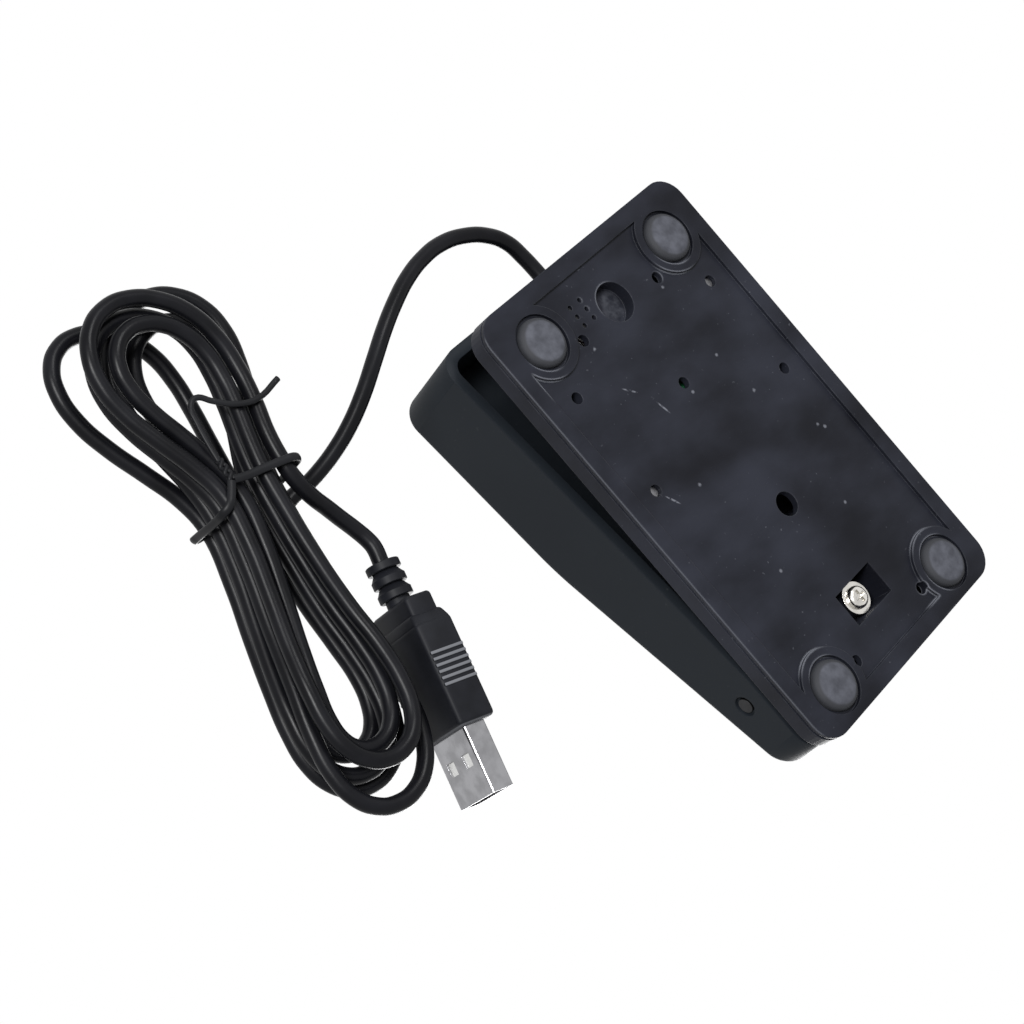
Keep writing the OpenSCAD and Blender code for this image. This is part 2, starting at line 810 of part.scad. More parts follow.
// Least gap between two stretches of the hank that are over half a loop apart
fine_n = 2 * ring_n;
fine_path = [for (i = [0:fine_n]) hank_point(start_t + (end_t - start_t) * i / fine_n)];
hank_gap = min([
    for (i = [0:fine_n - loop_rings], j = [i + loop_rings:fine_n]) norm(fine_path[i] - fine_path[j])
]) - cord_d;
echo("least gap in the hank", hank_gap);  // cord_hank

lead_points = [
    [0, -8, cord_z], [0, -3, cord_z], [0, 1, cord_z],
    [0.6, 4.5, 3.6], [2.4, 8.4, 2.4], [5.4, 11.6, lie_z + 0.3],
    [10, 14.2, lie_z], [15.4, 15.6, lie_z], [21, 15.5, lie_z], [26.4, 14.4, lie_z],
    [32, 12.4, lie_z], [37.4, 9.9, lie_z + 0.3], [42.9, 6.7, 2.9], [48, 3.5, 4.7],
    [53, 0.8, 7], [57.4, -0.9, 9.1], [61.4, -1.9, 11]
];
// The lead turns into the topmost layer just below the tie. [w, s, z]
low_z = lie_z + lift;
top_z = low_z + layer_n * layer_step;
lead_turn = [
    [15, -0.4, top_z - 0.9], [11.8, -1.2, top_z - 0.3], [9.3, -2.8, top_z]
];

module cord_lead() {
    start = hank_path[0];
    way = unit(hank_path[1] - hank_path[0]);
    color("#17181a")
    tube(concat(
        [[cord_x, jacket_end_y, cord_z]],
        [for (p = lead_points) from_exit(p)],
        [for (p = lead_turn) hank_world(p)],
        [start - cord_d * way, start - eps * way]
    ), cord_d, 8);
}

module cord_hank() {
    color("#17181a")
    tube(hank_path, cord_d, 6);
}

// Plug, standing on its narrow side beside the hank
plug_at = [76.9, -51.1];
plug_turn = -70.5;
ridge_h = 0.25;
plug_z = grip_w / 2 + ridge_h;
function plug_point(x) = from_exit([
    plug_at.x + x * cos(plug_turn), plug_at.y + x * sin(plug_turn), plug_z
]);

// The cord's last stretch leaves the lowest layer of the upper loops and passes the waist beside them. [w, s, z]
tail_waist = 8.2;
tail_points = [
    [7.8, 3.4, low_z + 0.1], [tail_waist, 0.9, low_z + 0.4], [9.2, -1.6, low_z + 1],
    [10.8, -4, low_z + 2.1], [12.9, -6.2, low_z + 3.4], [15, -8.8, low_z + 4.5],
    [17, -11.6, plug_z + 0.1], [18.2, -14.4, plug_z + 0.1]
];

module cord_tail() {
    start = hank_path[ring_n];
    way = unit(hank_path[ring_n] - hank_path[ring_n - 1]);
    color("#17181a")
    tube(concat(
        [start + eps * way, start + cord_d * way],
        [for (p = tail_points) hank_world(p)],
        [plug_point(-grip_l - relief_l - cord_d), plug_point(-grip_l - relief_l - eps)]
    ), cord_d, 8);
}

// Tie: a loop of coated wire round the waist. Both ends leave it below the strands, and one runs on across them.
tie_z = tie_d / 2 + 0.05;
tie_room = 0.7;
tie_right = tail_waist + cord_d / 2 + tie_gap + tie_d / 2;
tie_left = -(waist_in + (outer_q - 0.5) * loop_step + cord_d / 2 + tie_gap + tie_d / 2 + tie_room);
tie_high = top_z + cord_d / 2 + tie_gap + tie_d / 2;
bend = 1.8;
tie_points = [
    [13.7, 16.4, tie_z], [8.1, 14.5, tie_z], [3.8, 15.1, tie_z], [0.3, 17, tie_z], [-2.4, 18.6, tie_z],
    [-4, 17.2, tie_z], [-4, 15, tie_z], [-3.8, 11.6, tie_z], [-4.2, 8, tie_z], [-3.2, 4.4, tie_z],
    [-1.2, 3, tie_z], [2.2, 3.3, tie_z], [tie_right - bend, 3, tie_z], [tie_right, 2.6, tie_z + bend],
    [tie_right, 2, tie_high - bend], [tie_right - bend, 1.6, tie_high], [0, 0.6, tie_high],
    [tie_left + bend, -0.6, tie_high], [tie_left, -0.8, tie_high - bend], [tie_left, -1.2, tie_z + bend],
    [tie_left + bend, -0.4, tie_z], [-5, 2.2, tie_z], [-5.7, 5, tie_z], [-5.9, 8, tie_z], [-5.4, 11.4, tie_z]
];

module twist_tie() {
    color("#1e1f22")
    tube([for (p = tie_points) hank_world(p)], tie_d, 6);
}

// Plug parts. x runs to the plug's open end from the end of the grip.
shell_w = 12;
shell_t = 4.5;
shell_l = 12;
shell_in = 6;
shell_skin = 0.3;
tongue_t = 1.9;
tongue_w = 11;
tongue_y = shell_t / 2 - shell_skin - run_gap - tongue_t;
neck_l = 5.5;
neck_t = grip_t - 2;
neck_w = grip_w - 2.4;
ridge_n = 6;
ridge_pitch = 1.15;
ridge_w = 0.5;
ridge_start = -13.2;
ridge_side = 0.4;
relief_d = 6.2;
relief_core_d = 4.4;
relief_ribs = 3;

module at_plug() {
    translate(plug_point(0))
        rotate([0, 0, plug_turn])
            children();
}

// A bar along x with rounded long edges
module bar(x_from, x_to, t, w, r) {
    translate([x_from, 0, 0])
        rotate([90, 0, 90])
            linear_extrude(x_to - x_from)
                polygon(plate(t, w, r));
}

module plug_grip() {
    rib_pitch = relief_l / relief_ribs;
    color("#1b1c1f")
    at_plug()
    difference() {
        union() {
            bar(-grip_l + neck_l, 0, grip_t, grip_w, 1);
            bar(-grip_l, -grip_l + neck_l + eps, neck_t, neck_w, 1);
            rod_x(relief_core_d, -grip_l - relief_l, -grip_l + eps);
            for (i = [0:relief_ribs - 1])
                rod_x_at(relief_d, -grip_l - relief_l + i * rib_pitch, rib_pitch * 0.55);
            for (i = [0:ridge_n - 1], side = [-1, 1])
                translate([ridge_start + i * ridge_pitch, 0, side * grip_w / 2])
                    cube([ridge_w, grip_t - 2 * ridge_side, 2 * ridge_h], center = true);
        }
        bar(-shell_in - seat_gap, 1, shell_t + 2 * run_gap, shell_w + 2 * run_gap, 0.6);
    }
}

module rod_x_at(d, x, l) {
    rod_x(d, x, x + l);
}

module plug_shell() {
    window = 2.4;
    window_x = 5.2;
    window_z = 2.7;
    color("#c4c6c9")
    at_plug()
    difference() {
        bar(-shell_in, shell_l, shell_t, shell_w, 0.6);
        bar(-shell_in - 1, shell_l + 1, shell_t - 2 * shell_skin, shell_w - 2 * shell_skin, 0.3);
        for (side = [-1, 1])
            translate([window_x, 0, side * window_z])
                cube([window, shell_t + 2, window], center = true);
    }
}

module plug_tongue() {
    color("#e9e9e6")
    at_plug()
        translate([-shell_in, tongue_y, -tongue_w / 2])
            cube([shell_in + shell_l - 0.4, tongue_t, tongue_w]);
}

module plug_contacts() {
    contact_w = 1;
    contact_t = 0.2;
    contact_z = [-3.5, -1, 1, 3.5];
    color("#c9a24a")
    at_plug()
    for (z = contact_z)
        translate([-shell_in + 1, tongue_y - contact_t, z - contact_w / 2])
            cube([shell_in + shell_l - 3, contact_t, contact_w]);
}

// Pedal: a rounded wedge, hollow below, standing open about the hinge pin
rib_w = 2.2;
rib_pitch = 4.4;
rib_side = 8;
rib_front = 5;
seat_d = spring_d + 2;
web_t = 2.4;
web_w = 6;

// The wedge's outer form, or its hollow when it is drawn in by a wall and dropped by the top's thickness
module wedge(inset, drop, low) {
    r = corner_r - inset;
    soft = max(0.5, edge_r - inset);
    x = body_w / 2 - corner_r;
    y = toe_y - corner_r;
    heel_y = -y;
    top = pedal_top_z - drop;
    heel_top = top_at(heel_y) - drop;
    hull()
    both_sides() {
        for (p = [[y, top], [heel_y, heel_top]])
            translate([x, p[0], low]) {
                cylinder(r = r, h = p[1] - low - soft, $fn = 32);
                translate([0, 0, p[1] - low - soft])
                    rotate_extrude($fn = 32)
                        polygon(concat(
                            [[0, 0]],
                            [for (a = [0:22.5:90]) [r - soft + soft * cos(a), soft * sin(a)]],
                            [[0, soft]]
                        ));
            }
        translate([body_w / 2 - inset - soft, kink_y, top - soft])
            sphere(r = soft, $fn = 32);
    }
}

module pedal_shell() {
    color("#262a2c")
    difference() {
        on_raised_pedal()
        difference() {
            union() {
                difference() {
                    wedge(0, 0, pedal_rim_z);
                    wedge(pedal_wall, pedal_top_t, pedal_rim_z - 2);
                }
                both_sides()
                    translate([0, hinge_y, hinge_z])
                        rod_x(hinge_boss_d, upright_x + hinge_side_gap, body_w / 2 - pedal_wall / 2);
                spring_seat();
                actuator();
                grip_ribs();
            }
            translate([0, hinge_y, hinge_z]) {
                rod_x(pin_d + 2 * run_gap, -body_w, body_w);
                both_sides()
                    rod_x(pin_recess_d, body_w / 2 - pin_recess, body_w);
            }
        }
        // The rim is cut level over the hinge end, so that it clears the base while the pedal is open
        translate([-body_w, -body_l, 0])
            cube([2 * body_w, 2 * body_l, ledge_z + heel_gap]);
    }
}

// Boss under the top that the spring bears on, level when the pedal is open, with a pin inside the spring
module spring_seat() {
    seat_pin_h = 2.5;
    on_level_base()
        translate([0, spring_y, spring_high]) {
            cylinder(d = seat_d, h = pedal_seat_drop + pedal_top_t / 2);
            translate([0, 0, -seat_pin_h])
                cylinder(d = spring_pin_d, h = seat_pin_h + eps);
        }
}

module on_level_base() {
    translate([0, hinge_y, hinge_z])
        rotate([-raise_angle, 0, 0])
            translate([0, -hinge_y, -hinge_z])
                children();
}

// Web with a round nose that presses the switch's plunger
module actuator() {
    nose_z = switch_low + switch_h + plunger_out + seat_gap + nose_d / 2;
    on_level_base()
        translate([-web_w / 2, switch_y, nose_z]) {
            rod_x(nose_d, 0, web_w);
            translate([0, -web_t / 2, 0])
                cube([web_w, web_t, nose_d / 2 + pedal_top_t / 2]);
        }
}

module grip_ribs() {
    rib_l = body_w - 2 * rib_side;
    for (i = [0:rib_n - 1])
        translate([-rib_l / 2, toe_y - rib_front - i * rib_pitch, pedal_top_z + rib_h - rib_w / 2])
            rod_x(rib_w, 0, rib_l);
}

base_tray();
rubber_feet();
hinge_pin();
lock_screw();
lock_washer();
circuit_board();
controller_chip();
crystal();
capacitors();
resistors();
cord_header();
cord_wires();
board_screws();
switch_case();
switch_terminals();
switch_screws();
switch_wires();
switch_plunger();
return_spring();
cord_grommet();
cord_clamp();
cord_lead();
cord_hank();
cord_tail();
twist_tie();
plug_grip();
plug_shell();
plug_tongue();
plug_contacts();
pedal_shell();
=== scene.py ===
"""USB foot pedal switch: the pieces and finishes that are seen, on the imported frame.

Sizes and places are in millimetres, and MM turns them into the frame's metres.
"""
import math

import bmesh
import bpy
from mathutils import Matrix, Vector


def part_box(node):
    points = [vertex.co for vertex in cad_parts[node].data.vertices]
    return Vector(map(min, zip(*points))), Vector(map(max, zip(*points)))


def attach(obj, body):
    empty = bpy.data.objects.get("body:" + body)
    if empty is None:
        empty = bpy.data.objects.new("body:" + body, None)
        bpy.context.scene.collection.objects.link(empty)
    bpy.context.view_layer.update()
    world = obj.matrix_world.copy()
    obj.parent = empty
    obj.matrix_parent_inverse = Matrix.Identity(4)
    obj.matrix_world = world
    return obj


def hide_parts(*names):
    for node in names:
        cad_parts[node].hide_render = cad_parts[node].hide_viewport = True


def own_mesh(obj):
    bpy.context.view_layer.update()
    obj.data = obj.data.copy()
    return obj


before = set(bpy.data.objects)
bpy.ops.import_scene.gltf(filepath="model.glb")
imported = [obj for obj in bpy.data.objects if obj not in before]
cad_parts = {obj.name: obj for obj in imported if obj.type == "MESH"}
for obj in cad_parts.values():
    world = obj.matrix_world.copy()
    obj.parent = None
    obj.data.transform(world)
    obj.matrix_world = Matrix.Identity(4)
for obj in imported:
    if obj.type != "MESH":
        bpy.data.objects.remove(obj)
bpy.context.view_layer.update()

# Base tray
# One moulding in charcoal plastic: a rimmed underside, a skirt round it and the posts inside.
# It keeps its exact solid. The skin is a fine satin with pale knocks and scratches, and painted glints and
# highlights on its edges.
MM = 0.001


class Value:
    """A socket in a material. Arithmetic on it adds the nodes that work it out."""

    def __init__(self, tree, socket):
        self.tree = tree
        self.socket = socket

    def node(self, kind, settings, inputs, output=0):
        """Adds a node with these settings and inputs, and gives one of its outputs."""
        made = self.tree.nodes.new(kind)
        for name, setting in settings.items():
            setattr(made, name, setting)
        for name, value in inputs.items():
            if isinstance(value, Value):
                self.tree.links.new(value.socket, made.inputs[name])
            else:
                made.inputs[name].default_value = value
        return Value(self.tree, made.outputs[output])

    def maths(self, operation, first, second=0.0):
        return self.node("ShaderNodeMath", {"operation": operation}, {0: first, 1: second})

    def __add__(self, other):
        return self.maths("ADD", self, other)

    def __radd__(self, other):
        return self.maths("ADD", other, self)

    def __sub__(self, other):
        return self.maths("SUBTRACT", self, other)

    def __rsub__(self, other):
        return self.maths("SUBTRACT", other, self)

    def __mul__(self, other):
        return self.maths("MULTIPLY", self, other)

    def magnitude(self):
        return self.maths("ABSOLUTE", self)

    def larger(self, other):
        return self.maths("MAXIMUM", self, other)

    def rise(self, low, high):
        """0 below low and 1 above high, with a smooth way between them."""
        return self.node(
            "ShaderNodeMapRange",
            {"interpolation_type": "SMOOTHSTEP"},
            {"Value": self, "From Min": low, "From Max": high},
        )

    def noise(self, size, detail=2.0):
        """Cloudy noise whose patches are about this size in metres."""
        return self.node("ShaderNodeTexNoise", {}, {"Vector": self, "Scale": 1 / size, "Detail": detail})

    def placed(self, at=(0, 0, 0), turn=(0, 0, 0), stretch=(1, 1, 1)):
        """Places measured from a point, along axes that are turned and stretched."""
        return self.node(
            "ShaderNodeMapping",
            {"vector_type": "TEXTURE"},
            {"Vector": self, "Location": at, "Rotation": turn, "Scale": stretch},
        )

    def away_from(self, place):
        """Distance from a place."""
        return self.node("ShaderNodeVectorMath", {"operation": "DISTANCE"}, {0: self, 1: place}, "Value")

    def axis(self, letter):
        return self.node("ShaderNodeSeparateXYZ", {}, {0: self}, letter)

    def tint(self, none, full):
        """A colour between two colours."""
        return self.node("ShaderNodeMix", {"data_type": "RGBA"}, {0: self, 6: none, 7: full}, 2)

    def bands(self, stops):
        """A colour that changes in steps. Each stop is where a band starts and its colour."""
        banded = self.node("ShaderNodeValToRGB", {}, {"Fac": self})
        ramp = banded.socket.node.color_ramp
        ramp.interpolation = "CONSTANT"
        for start, _ in stops[1:-1]:
            ramp.elements.new(start)
        for element, (start, colour) in zip(ramp.elements, stops):
            element.position = start
            element.color = colour
        return banded


def rgb(red, green, blue):
    return (red, green, blue, 1)


class Finish:
    """A material with its surface shader and the place on the object that its patterns read."""

    def __init__(self, name, specular=0.5, metallic=0.0):
        self.material = bpy.data.materials.new(name)
        self.material.use_nodes = True
        self.tree = self.material.node_tree
        self.shader = self.tree.nodes["Principled BSDF"]
        self.shader.inputs["Specular IOR Level"].default_value = specular
        self.shader.inputs["Metallic"].default_value = metallic
        place = self.tree.nodes.new("ShaderNodeTexCoord")
        self.at = Value(self.tree, place.outputs["Object"])

    def feed(self, socket, value):
        self.tree.links.new(value.socket, self.shader.inputs[socket])

    def rounded(self, radius):
        """The way that the surface faces, with its sharp edges rounded to a radius."""
        return self.at.node("ShaderNodeBevel", {"samples": 6}, {"Radius": radius})

    def edges(self, radius):
        """How far the surface turns within a radius: 0 on flats and more towards sharp edges."""
        facing = self.at.node("ShaderNodeNewGeometry", {}, {}, "Normal")
        both = {0: facing, 1: self.rounded(radius)}
        return 1 - self.at.node("ShaderNodeVectorMath", {"operation": "DOT_PRODUCT"}, both, "Value")

    def surface(self, colour, roughness, height, depth, edge=0.0):
        """Feeds the shader. Depth is how deep the height's pattern goes, edge the rounding of edges."""
        self.feed("Base Color", colour)
        self.feed("Roughness", roughness)
        bumps = {"Height": height, "Distance": depth, "Strength": 1.0}
        if edge:
            bumps["Normal"] = self.rounded(edge)
        self.feed("Normal", self.at.node("ShaderNodeBump", {}, bumps))
        return self.material


def moulded_plastic(name, dark, light, rough, specular=0.2, edge=0.25 * MM):
    """Satin moulded plastic: uneven sheen over a fine eroded skin, with a little pale dust."""
    finish = Finish(name, specular)
    cloud = finish.at.noise(18 * MM, 4)
    skin = finish.at.noise(0.16 * MM, 1)
    dust = finish.at.noise(0.9 * MM, 2).rise(0.69, 0.78)
    colour = (dust * 0.35).tint(cloud.rise(0.3, 0.7).tint(dark, light), rgb(0.09, 0.09, 0.095))
    return finish.surface(colour, rough + (cloud - 0.5) * 0.22 + dust * 0.12, skin, 0.006 * MM, edge)


def dress(material, *nodes):
    """Gives CAD nodes that keep their shape a finish."""
    for node in nodes:
        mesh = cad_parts[node].data
        mesh.materials.clear()
        mesh.materials.append(material)


recess_z = 1.8 * MM
cup_floor = (0, 37.1 * MM, 4.8 * MM)
# Small pale knocks in the underside, some of them painted glints beside holes, and short scratches, each
# with its turn
knocks_and_glints = [
    (-12.4, 7.0), (-20.5, -7.6), (-19.4, -6.3), (-11.6, -20.7), (12.0, -20.9), (13.4, 1.2),
    (-11.7, 33.3), (11.5, 32.9), (-0.2, 14.7), (-10.9, 16.8),
]
scratches = [(11.5, 22.8, -0.76), (7.9, 16.3, -0.24), (20.7, 2.6, -0.5)]
# Places where the edges round the feet and the cup get a painted highlight
highlight_spots = [(25.2, 34.5), (-16.9, 35.0), (2.2, 40.4), (-14.0, -45.5), (-19.9, -37.4), (21.0, -36.6)]


def base_plastic():
    finish = Finish("base_plastic", 0.1)
    cloud = finish.at.noise(26 * MM, 4)
    haze = finish.at.placed(turn=(0, 0, 0.15), stretch=(1, 0.45, 1)).noise(24 * MM, 7)
    skin = finish.at.noise(0.16 * MM, 1)
    dust = finish.at.noise(0.8 * MM, 2).rise(0.7, 0.78) * cloud.rise(0.35, 0.6)
    ragged = (finish.at.noise(0.5 * MM) - 0.5) * (0.5 * MM)
    broken = finish.at.noise(0.7 * MM).rise(0.32, 0.52)
    wear_and_highlight = finish.at.noise(3 * MM, 3).rise(0.4, 0.65)

    marks_and_highlights = dust * 0.3
    # Pale knocks, and painted glints beside the holes
    for x, y in knocks_and_glints:
        from_spot = finish.at.away_from((x * MM, y * MM, recess_z)) + ragged
        marks_and_highlights = marks_and_highlights.larger((1 - from_spot.rise(0.12 * MM, 0.5 * MM)) * 0.7)
    for x, y, turn in scratches:
        line = finish.at.placed((x * MM, y * MM, recess_z), (0, 0, turn), (0.2, 1.5, 1))
        scratch = 1 - line.away_from((0, 0, 0)).rise(0.7 * MM, 1.3 * MM)
        marks_and_highlights = marks_and_highlights.larger(scratch * broken * 0.75)
    in_cup = 1 - finish.at.away_from(cup_floor).rise(3.4 * MM, 4.2 * MM)
    marks_and_highlights = marks_and_highlights.larger(in_cup * finish.at.noise(1.6 * MM, 4).rise(0.3, 0.75) * 0.22)

    # A painted highlight along the lower edge of the near side wall, and round the listed spots
    near_side = finish.at.axis("X").rise(30 * MM, 30.6 * MM)
    lower_edge_highlight = near_side * (1 - finish.at.axis("Z").rise(1.2 * MM, 1.6 * MM))
    edge_highlight = lower_edge_highlight * 0.5
    for x, y in highlight_spots:
        pale_spot = finish.at.away_from((x * MM, y * MM, recess_z))
        edge_highlight = edge_highlight.larger(1 - pale_spot.rise(2 * MM, 5.5 * MM))
    # Pale edges all over, partly wear and partly painted highlight
    marks_and_highlights = marks_and_highlights.larger(finish.edges(0.4 * MM).rise(0.03, 0.25) * (0.05 + wear_and_highlight * 0.15))
    # Stronger painted highlight on the edges at the listed spots and along the lower side edge
    marks_and_highlights = marks_and_highlights.larger(finish.edges(0.75 * MM).rise(0.01, 0.16) * edge_highlight * 0.9)

    mottled = (cloud * 0.5 + haze * 0.5).rise(0.34, 0.66)
    plain = mottled.tint(rgb(0.0052, 0.0056, 0.0082), rgb(0.0185, 0.0202, 0.0285))
    colour = marks_and_highlights.tint(plain, rgb(0.15, 0.157, 0.18))
    rough = 0.42 + (haze - 0.5) * 0.4 + marks_and_highlights * 0.15
    return finish.surface(colour, rough, skin, 0.006 * MM, 0.3 * MM)


dress(base_plastic(), "base_tray")

# Rubber feet
# Four turned rubber buttons pressed into round pockets of the underside, worn flat and dusty grey below.
foot_places = [(x, y) for x in (-20.5, 20.5) for y in (40.0, -42.6)]
# Half of a foot's section from its worn flat up into the pocket: distance from the middle, height
foot_section = [
    (0, 0), (3.0, 0), (3.9, 0.12), (4.5, 0.4), (4.85, 0.8), (5.0, 1.3), (5.0, 1.85), (0, 1.85),
]


def add_mesh(mesh, part):
    """Adds a finished part to a mesh and lets the part go."""
    data = bpy.data.meshes.new("part")
    part.to_mesh(data)
    part.free()
    mesh.from_mesh(data)
    bpy.data.meshes.remove(data)


def spun(mesh, section, steps=48, place=Matrix.Identity(4)):
    """Turns a section of (distance, height) round the upright axis and adds it to a mesh in its place."""
    turned = bmesh.new()
    points = [turned.verts.new((radius * MM, 0, height * MM)) for radius, height in section]
    edges = [turned.edges.new(pair) for pair in zip(points, points[1:])]
    bmesh.ops.spin(
        turned,
        geom=points + edges,
        cent=(0, 0, 0),
        axis=(0, 0, 1),
        angle=math.tau,
        steps=steps,
        use_merge=True,
    )
    bmesh.ops.remove_doubles(turned, verts=turned.verts, dist=1e-7)
    bmesh.ops.recalc_face_normals(turned, faces=turned.faces)
    bmesh.ops.transform(turned, matrix=place, verts=turned.verts)
    add_mesh(mesh, turned)


def as_object(name, mesh):
    """An object made of a mesh, which is let go."""
    data = bpy.data.meshes.new(name)
    mesh.to_mesh(data)
    mesh.free()
    return bpy.data.objects.new(name, data)


def handed(thing, material, slot, body, *nodes, sharp=38):
    """Puts an object in the scene, with shading broken at sharp edges, and hands it to the frame."""
    bpy.context.scene.collection.objects.link(thing)
    thing.data.materials.append(material)
    if thing.type == "MESH":
        thing.data.shade_smooth()
        thing.data.set_sharp_from_angle(angle=math.radians(sharp))
    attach(thing, body)
    if nodes:
        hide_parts(*nodes)
    return thing


def piece(name, mesh, material, slot, body, *nodes, sharp=38):
    """Makes an object of a mesh and hands it to the frame."""
    return handed(as_object(name, mesh), material, slot, body, *nodes, sharp=sharp)


def worn_rubber():
    finish = Finish("foot_rubber", 0.25)
    cloud = finish.at.noise(2.2 * MM, 5)
    grit = finish.at.noise(0.35 * MM, 3)
    off_floor = finish.at.axis("Z").rise(0.06 * MM, 0.34 * MM)
    dusty = cloud.rise(0.2, 0.8).tint(rgb(0.034, 0.036, 0.045), rgb(0.078, 0.082, 0.099))
    colour = (off_floor * 0.85).tint(dusty, rgb(0.02, 0.021, 0.024))
    return finish.surface(colour, 0.72 + (cloud - 0.5) * 0.2, cloud + grit * 0.5, 0.02 * MM)


feet = bmesh.new()
for x, y in foot_places:
    spun(feet, foot_section, place=Matrix.Translation((x * MM, y * MM, 0)))
piece("foot_buttons", feet, worn_rubber(), "foot_rubber", "base", "rubber_feet")

# Hinge pin, lock screw and washer
# A blackened steel pin across both side walls, held by a nickel-plated cross-head screw and its washer.
# They keep their solids, and show turning marks and a few fine scuffs.


def plated_metal(name, colour, rough, lines=(1, 1, 1), turn=(0, 0, 0), edge=0.1 * MM):
    """Bright metal with scuffs drawn out along one way."""
    finish = Finish(name, 0.5, 1.0)
    scuff = finish.at.placed(turn=turn, stretch=lines).noise(0.5 * MM, 3)
    stain = finish.at.noise(3 * MM, 3)
    dull = tuple(0.74 * part for part in colour)
    tone = stain.rise(0.35, 0.7).tint(rgb(*colour), rgb(*dull))
    return finish.surface(tone, rough + (scuff - 0.5) * 0.25, scuff, 0.004 * MM, edge)


screw_nickel = plated_metal("screw_nickel", (0.72, 0.70, 0.66), 0.22)
dress(plated_metal("pin_steel", (0.035, 0.035, 0.037), 0.42, (4, 1, 1)), "hinge_pin")
dress(screw_nickel, "lock_screw", "lock_washer")

# Circuit board and its parts
# Green laminate with tracks under the lacquer, and on it the chip, crystal can, capacitors, resistors and
# cord header. All keep their solids. The board sits on posts of the base, under two screws.
capacitor_top = 12.85


def lacquered_board():
    finish = Finish("board_laminate", 0.45)
    weave = finish.at.noise(0.4 * MM, 2)

    def tracks(stretch):
        wander = finish.at.placed(stretch=stretch).noise(2.4 * MM, 0) - 0.5
        return 1 - wander.magnitude().rise(0.012, 0.03)

    track = tracks((0.5, 3, 1)).larger(tracks((3, 0.5, 1)))
    colour = track.tint(rgb(0.008, 0.075, 0.03), rgb(0.03, 0.16, 0.07))
    return finish.surface(colour, 0.3 + weave * 0.15, track + weave * 0.2, 0.02 * MM, 0.1 * MM)


def capacitor_sleeve():
    finish = Finish("capacitor_sleeve", 0.45)
    can = finish.at.axis("Z").rise(capacitor_top * MM, (capacitor_top + 0.03) * MM)
    grain = finish.at.noise(0.6 * MM, 3)
    finish.feed("Metallic", can)
    colour = can.tint(rgb(0.012, 0.022, 0.06), rgb(0.6, 0.61, 0.63))
    return finish.surface(colour, 0.35 + grain * 0.12, grain, 0.005 * MM, 0.2 * MM)


chip_black = moulded_plastic("chip_black", rgb(0.008, 0.008, 0.009), rgb(0.014, 0.014, 0.015), 0.55)
resistor_black = moulded_plastic("resistor_black", rgb(0.012, 0.011, 0.01), rgb(0.03, 0.028, 0.026), 0.5)
header_plastic = moulded_plastic(
    "header_plastic", rgb(0.62, 0.58, 0.48), rgb(0.72, 0.69, 0.6), 0.45, 0.45, 0.2 * MM
)
dress(lacquered_board(), "circuit_board")
dress(chip_black, "controller_chip")
dress(resistor_black, "resistors")
dress(plated_metal("can_metal", (0.62, 0.63, 0.64), 0.28, (3, 1, 1)), "crystal")
dress(capacitor_sleeve(), "capacitors")
dress(header_plastic, "cord_header")
dress(plated_metal("screw_zinc", (0.2, 0.2, 0.21), 0.42), "board_screws")

# Conductors and switch wires
# Four coloured conductors run from the cord's cut jacket to the header, and two dark wires from the switch
# to the board. Each is one bent length of sheathed wire.
cord_d = 3.0
cord_z = 4.05
cord_x = 8.0
toe_y = 50.0
jacket_end_y = 36.0
header_face_y = 28.4
header_wire_z = 10.2
header_pitch = 2.0
core_n = 4
core_pitch = 0.66
core_stagger = 1.5
bundle_half = 4.0
wire_d = 1.0
switch_y = -21.8
terminal_x = 8.4
lead_x = 15.0
lead_z = 4.2
pad_y = 5.0
board_top = 7.4


def bent_wire(name, path, thickness, fineness=4, section=None):
    """A curve through points in millimetres, as round stock of a thickness or stock of another section."""
    line = bpy.data.curves.new(name, "CURVE")
    line.dimensions = "3D"
    line.bevel_depth = thickness / 2 * MM
    line.bevel_resolution = 5
    line.resolution_u = fineness
    line.use_fill_caps = True
    if section:
        line.bevel_mode = "OBJECT"
        line.bevel_object = section
    run = line.splines.new("BEZIER")
    run.bezier_points.add(len(path) - 1)
    for knot, place in zip(run.bezier_points, path):
        knot.co = Vector(place) * MM
        knot.handle_left_type = "AUTO"
        knot.handle_right_type = "AUTO"
    return bpy.data.objects.new(name, line)


def finished_mesh(thing):
    """The mesh of an object in the scene as its curve or its modifiers make it."""
    bpy.context.view_layer.update()
    return bpy.data.meshes.new_from_object(thing.evaluated_get(bpy.context.evaluated_depsgraph_get()))


def wire_mesh(paths, thickness, fineness=4, section=None):
    """Bent wires as one mesh."""
    mesh = bmesh.new()
    for path in paths:
        wire = bent_wire("wire", path, thickness, fineness, section)
        bpy.context.scene.collection.objects.link(wire)
        data = finished_mesh(wire)
        mesh.from_mesh(data)
        bpy.data.meshes.remove(data)
        bpy.data.objects.remove(wire)
    bmesh.ops.remove_doubles(mesh, verts=mesh.verts, dist=1e-7)
    bmesh.ops.recalc_face_normals(mesh, faces=mesh.faces)
    return mesh


def conductor_sheath():
    """Sheathed wires side by side, each with its own colour across the bundle."""
    finish = Finish("conductor_sheath", 0.4)
    grain = finish.at.noise(0.8 * MM, 2)
    across = finish.at.axis("X").rise((cord_x - bundle_half) * MM, (cord_x + bundle_half) * MM)
    colour = across.bands([
        (0, rgb(0.3, 0.02, 0.015)),
        (0.35, rgb(0.45, 0.44, 0.42)),
        (0.5, rgb(0.02, 0.15, 0.04)),
        (0.66, rgb(0.01, 0.01, 0.011)),
    ])
    return finish.surface(colour, 0.4 + grain * 0.15, grain, 0.006 * MM)


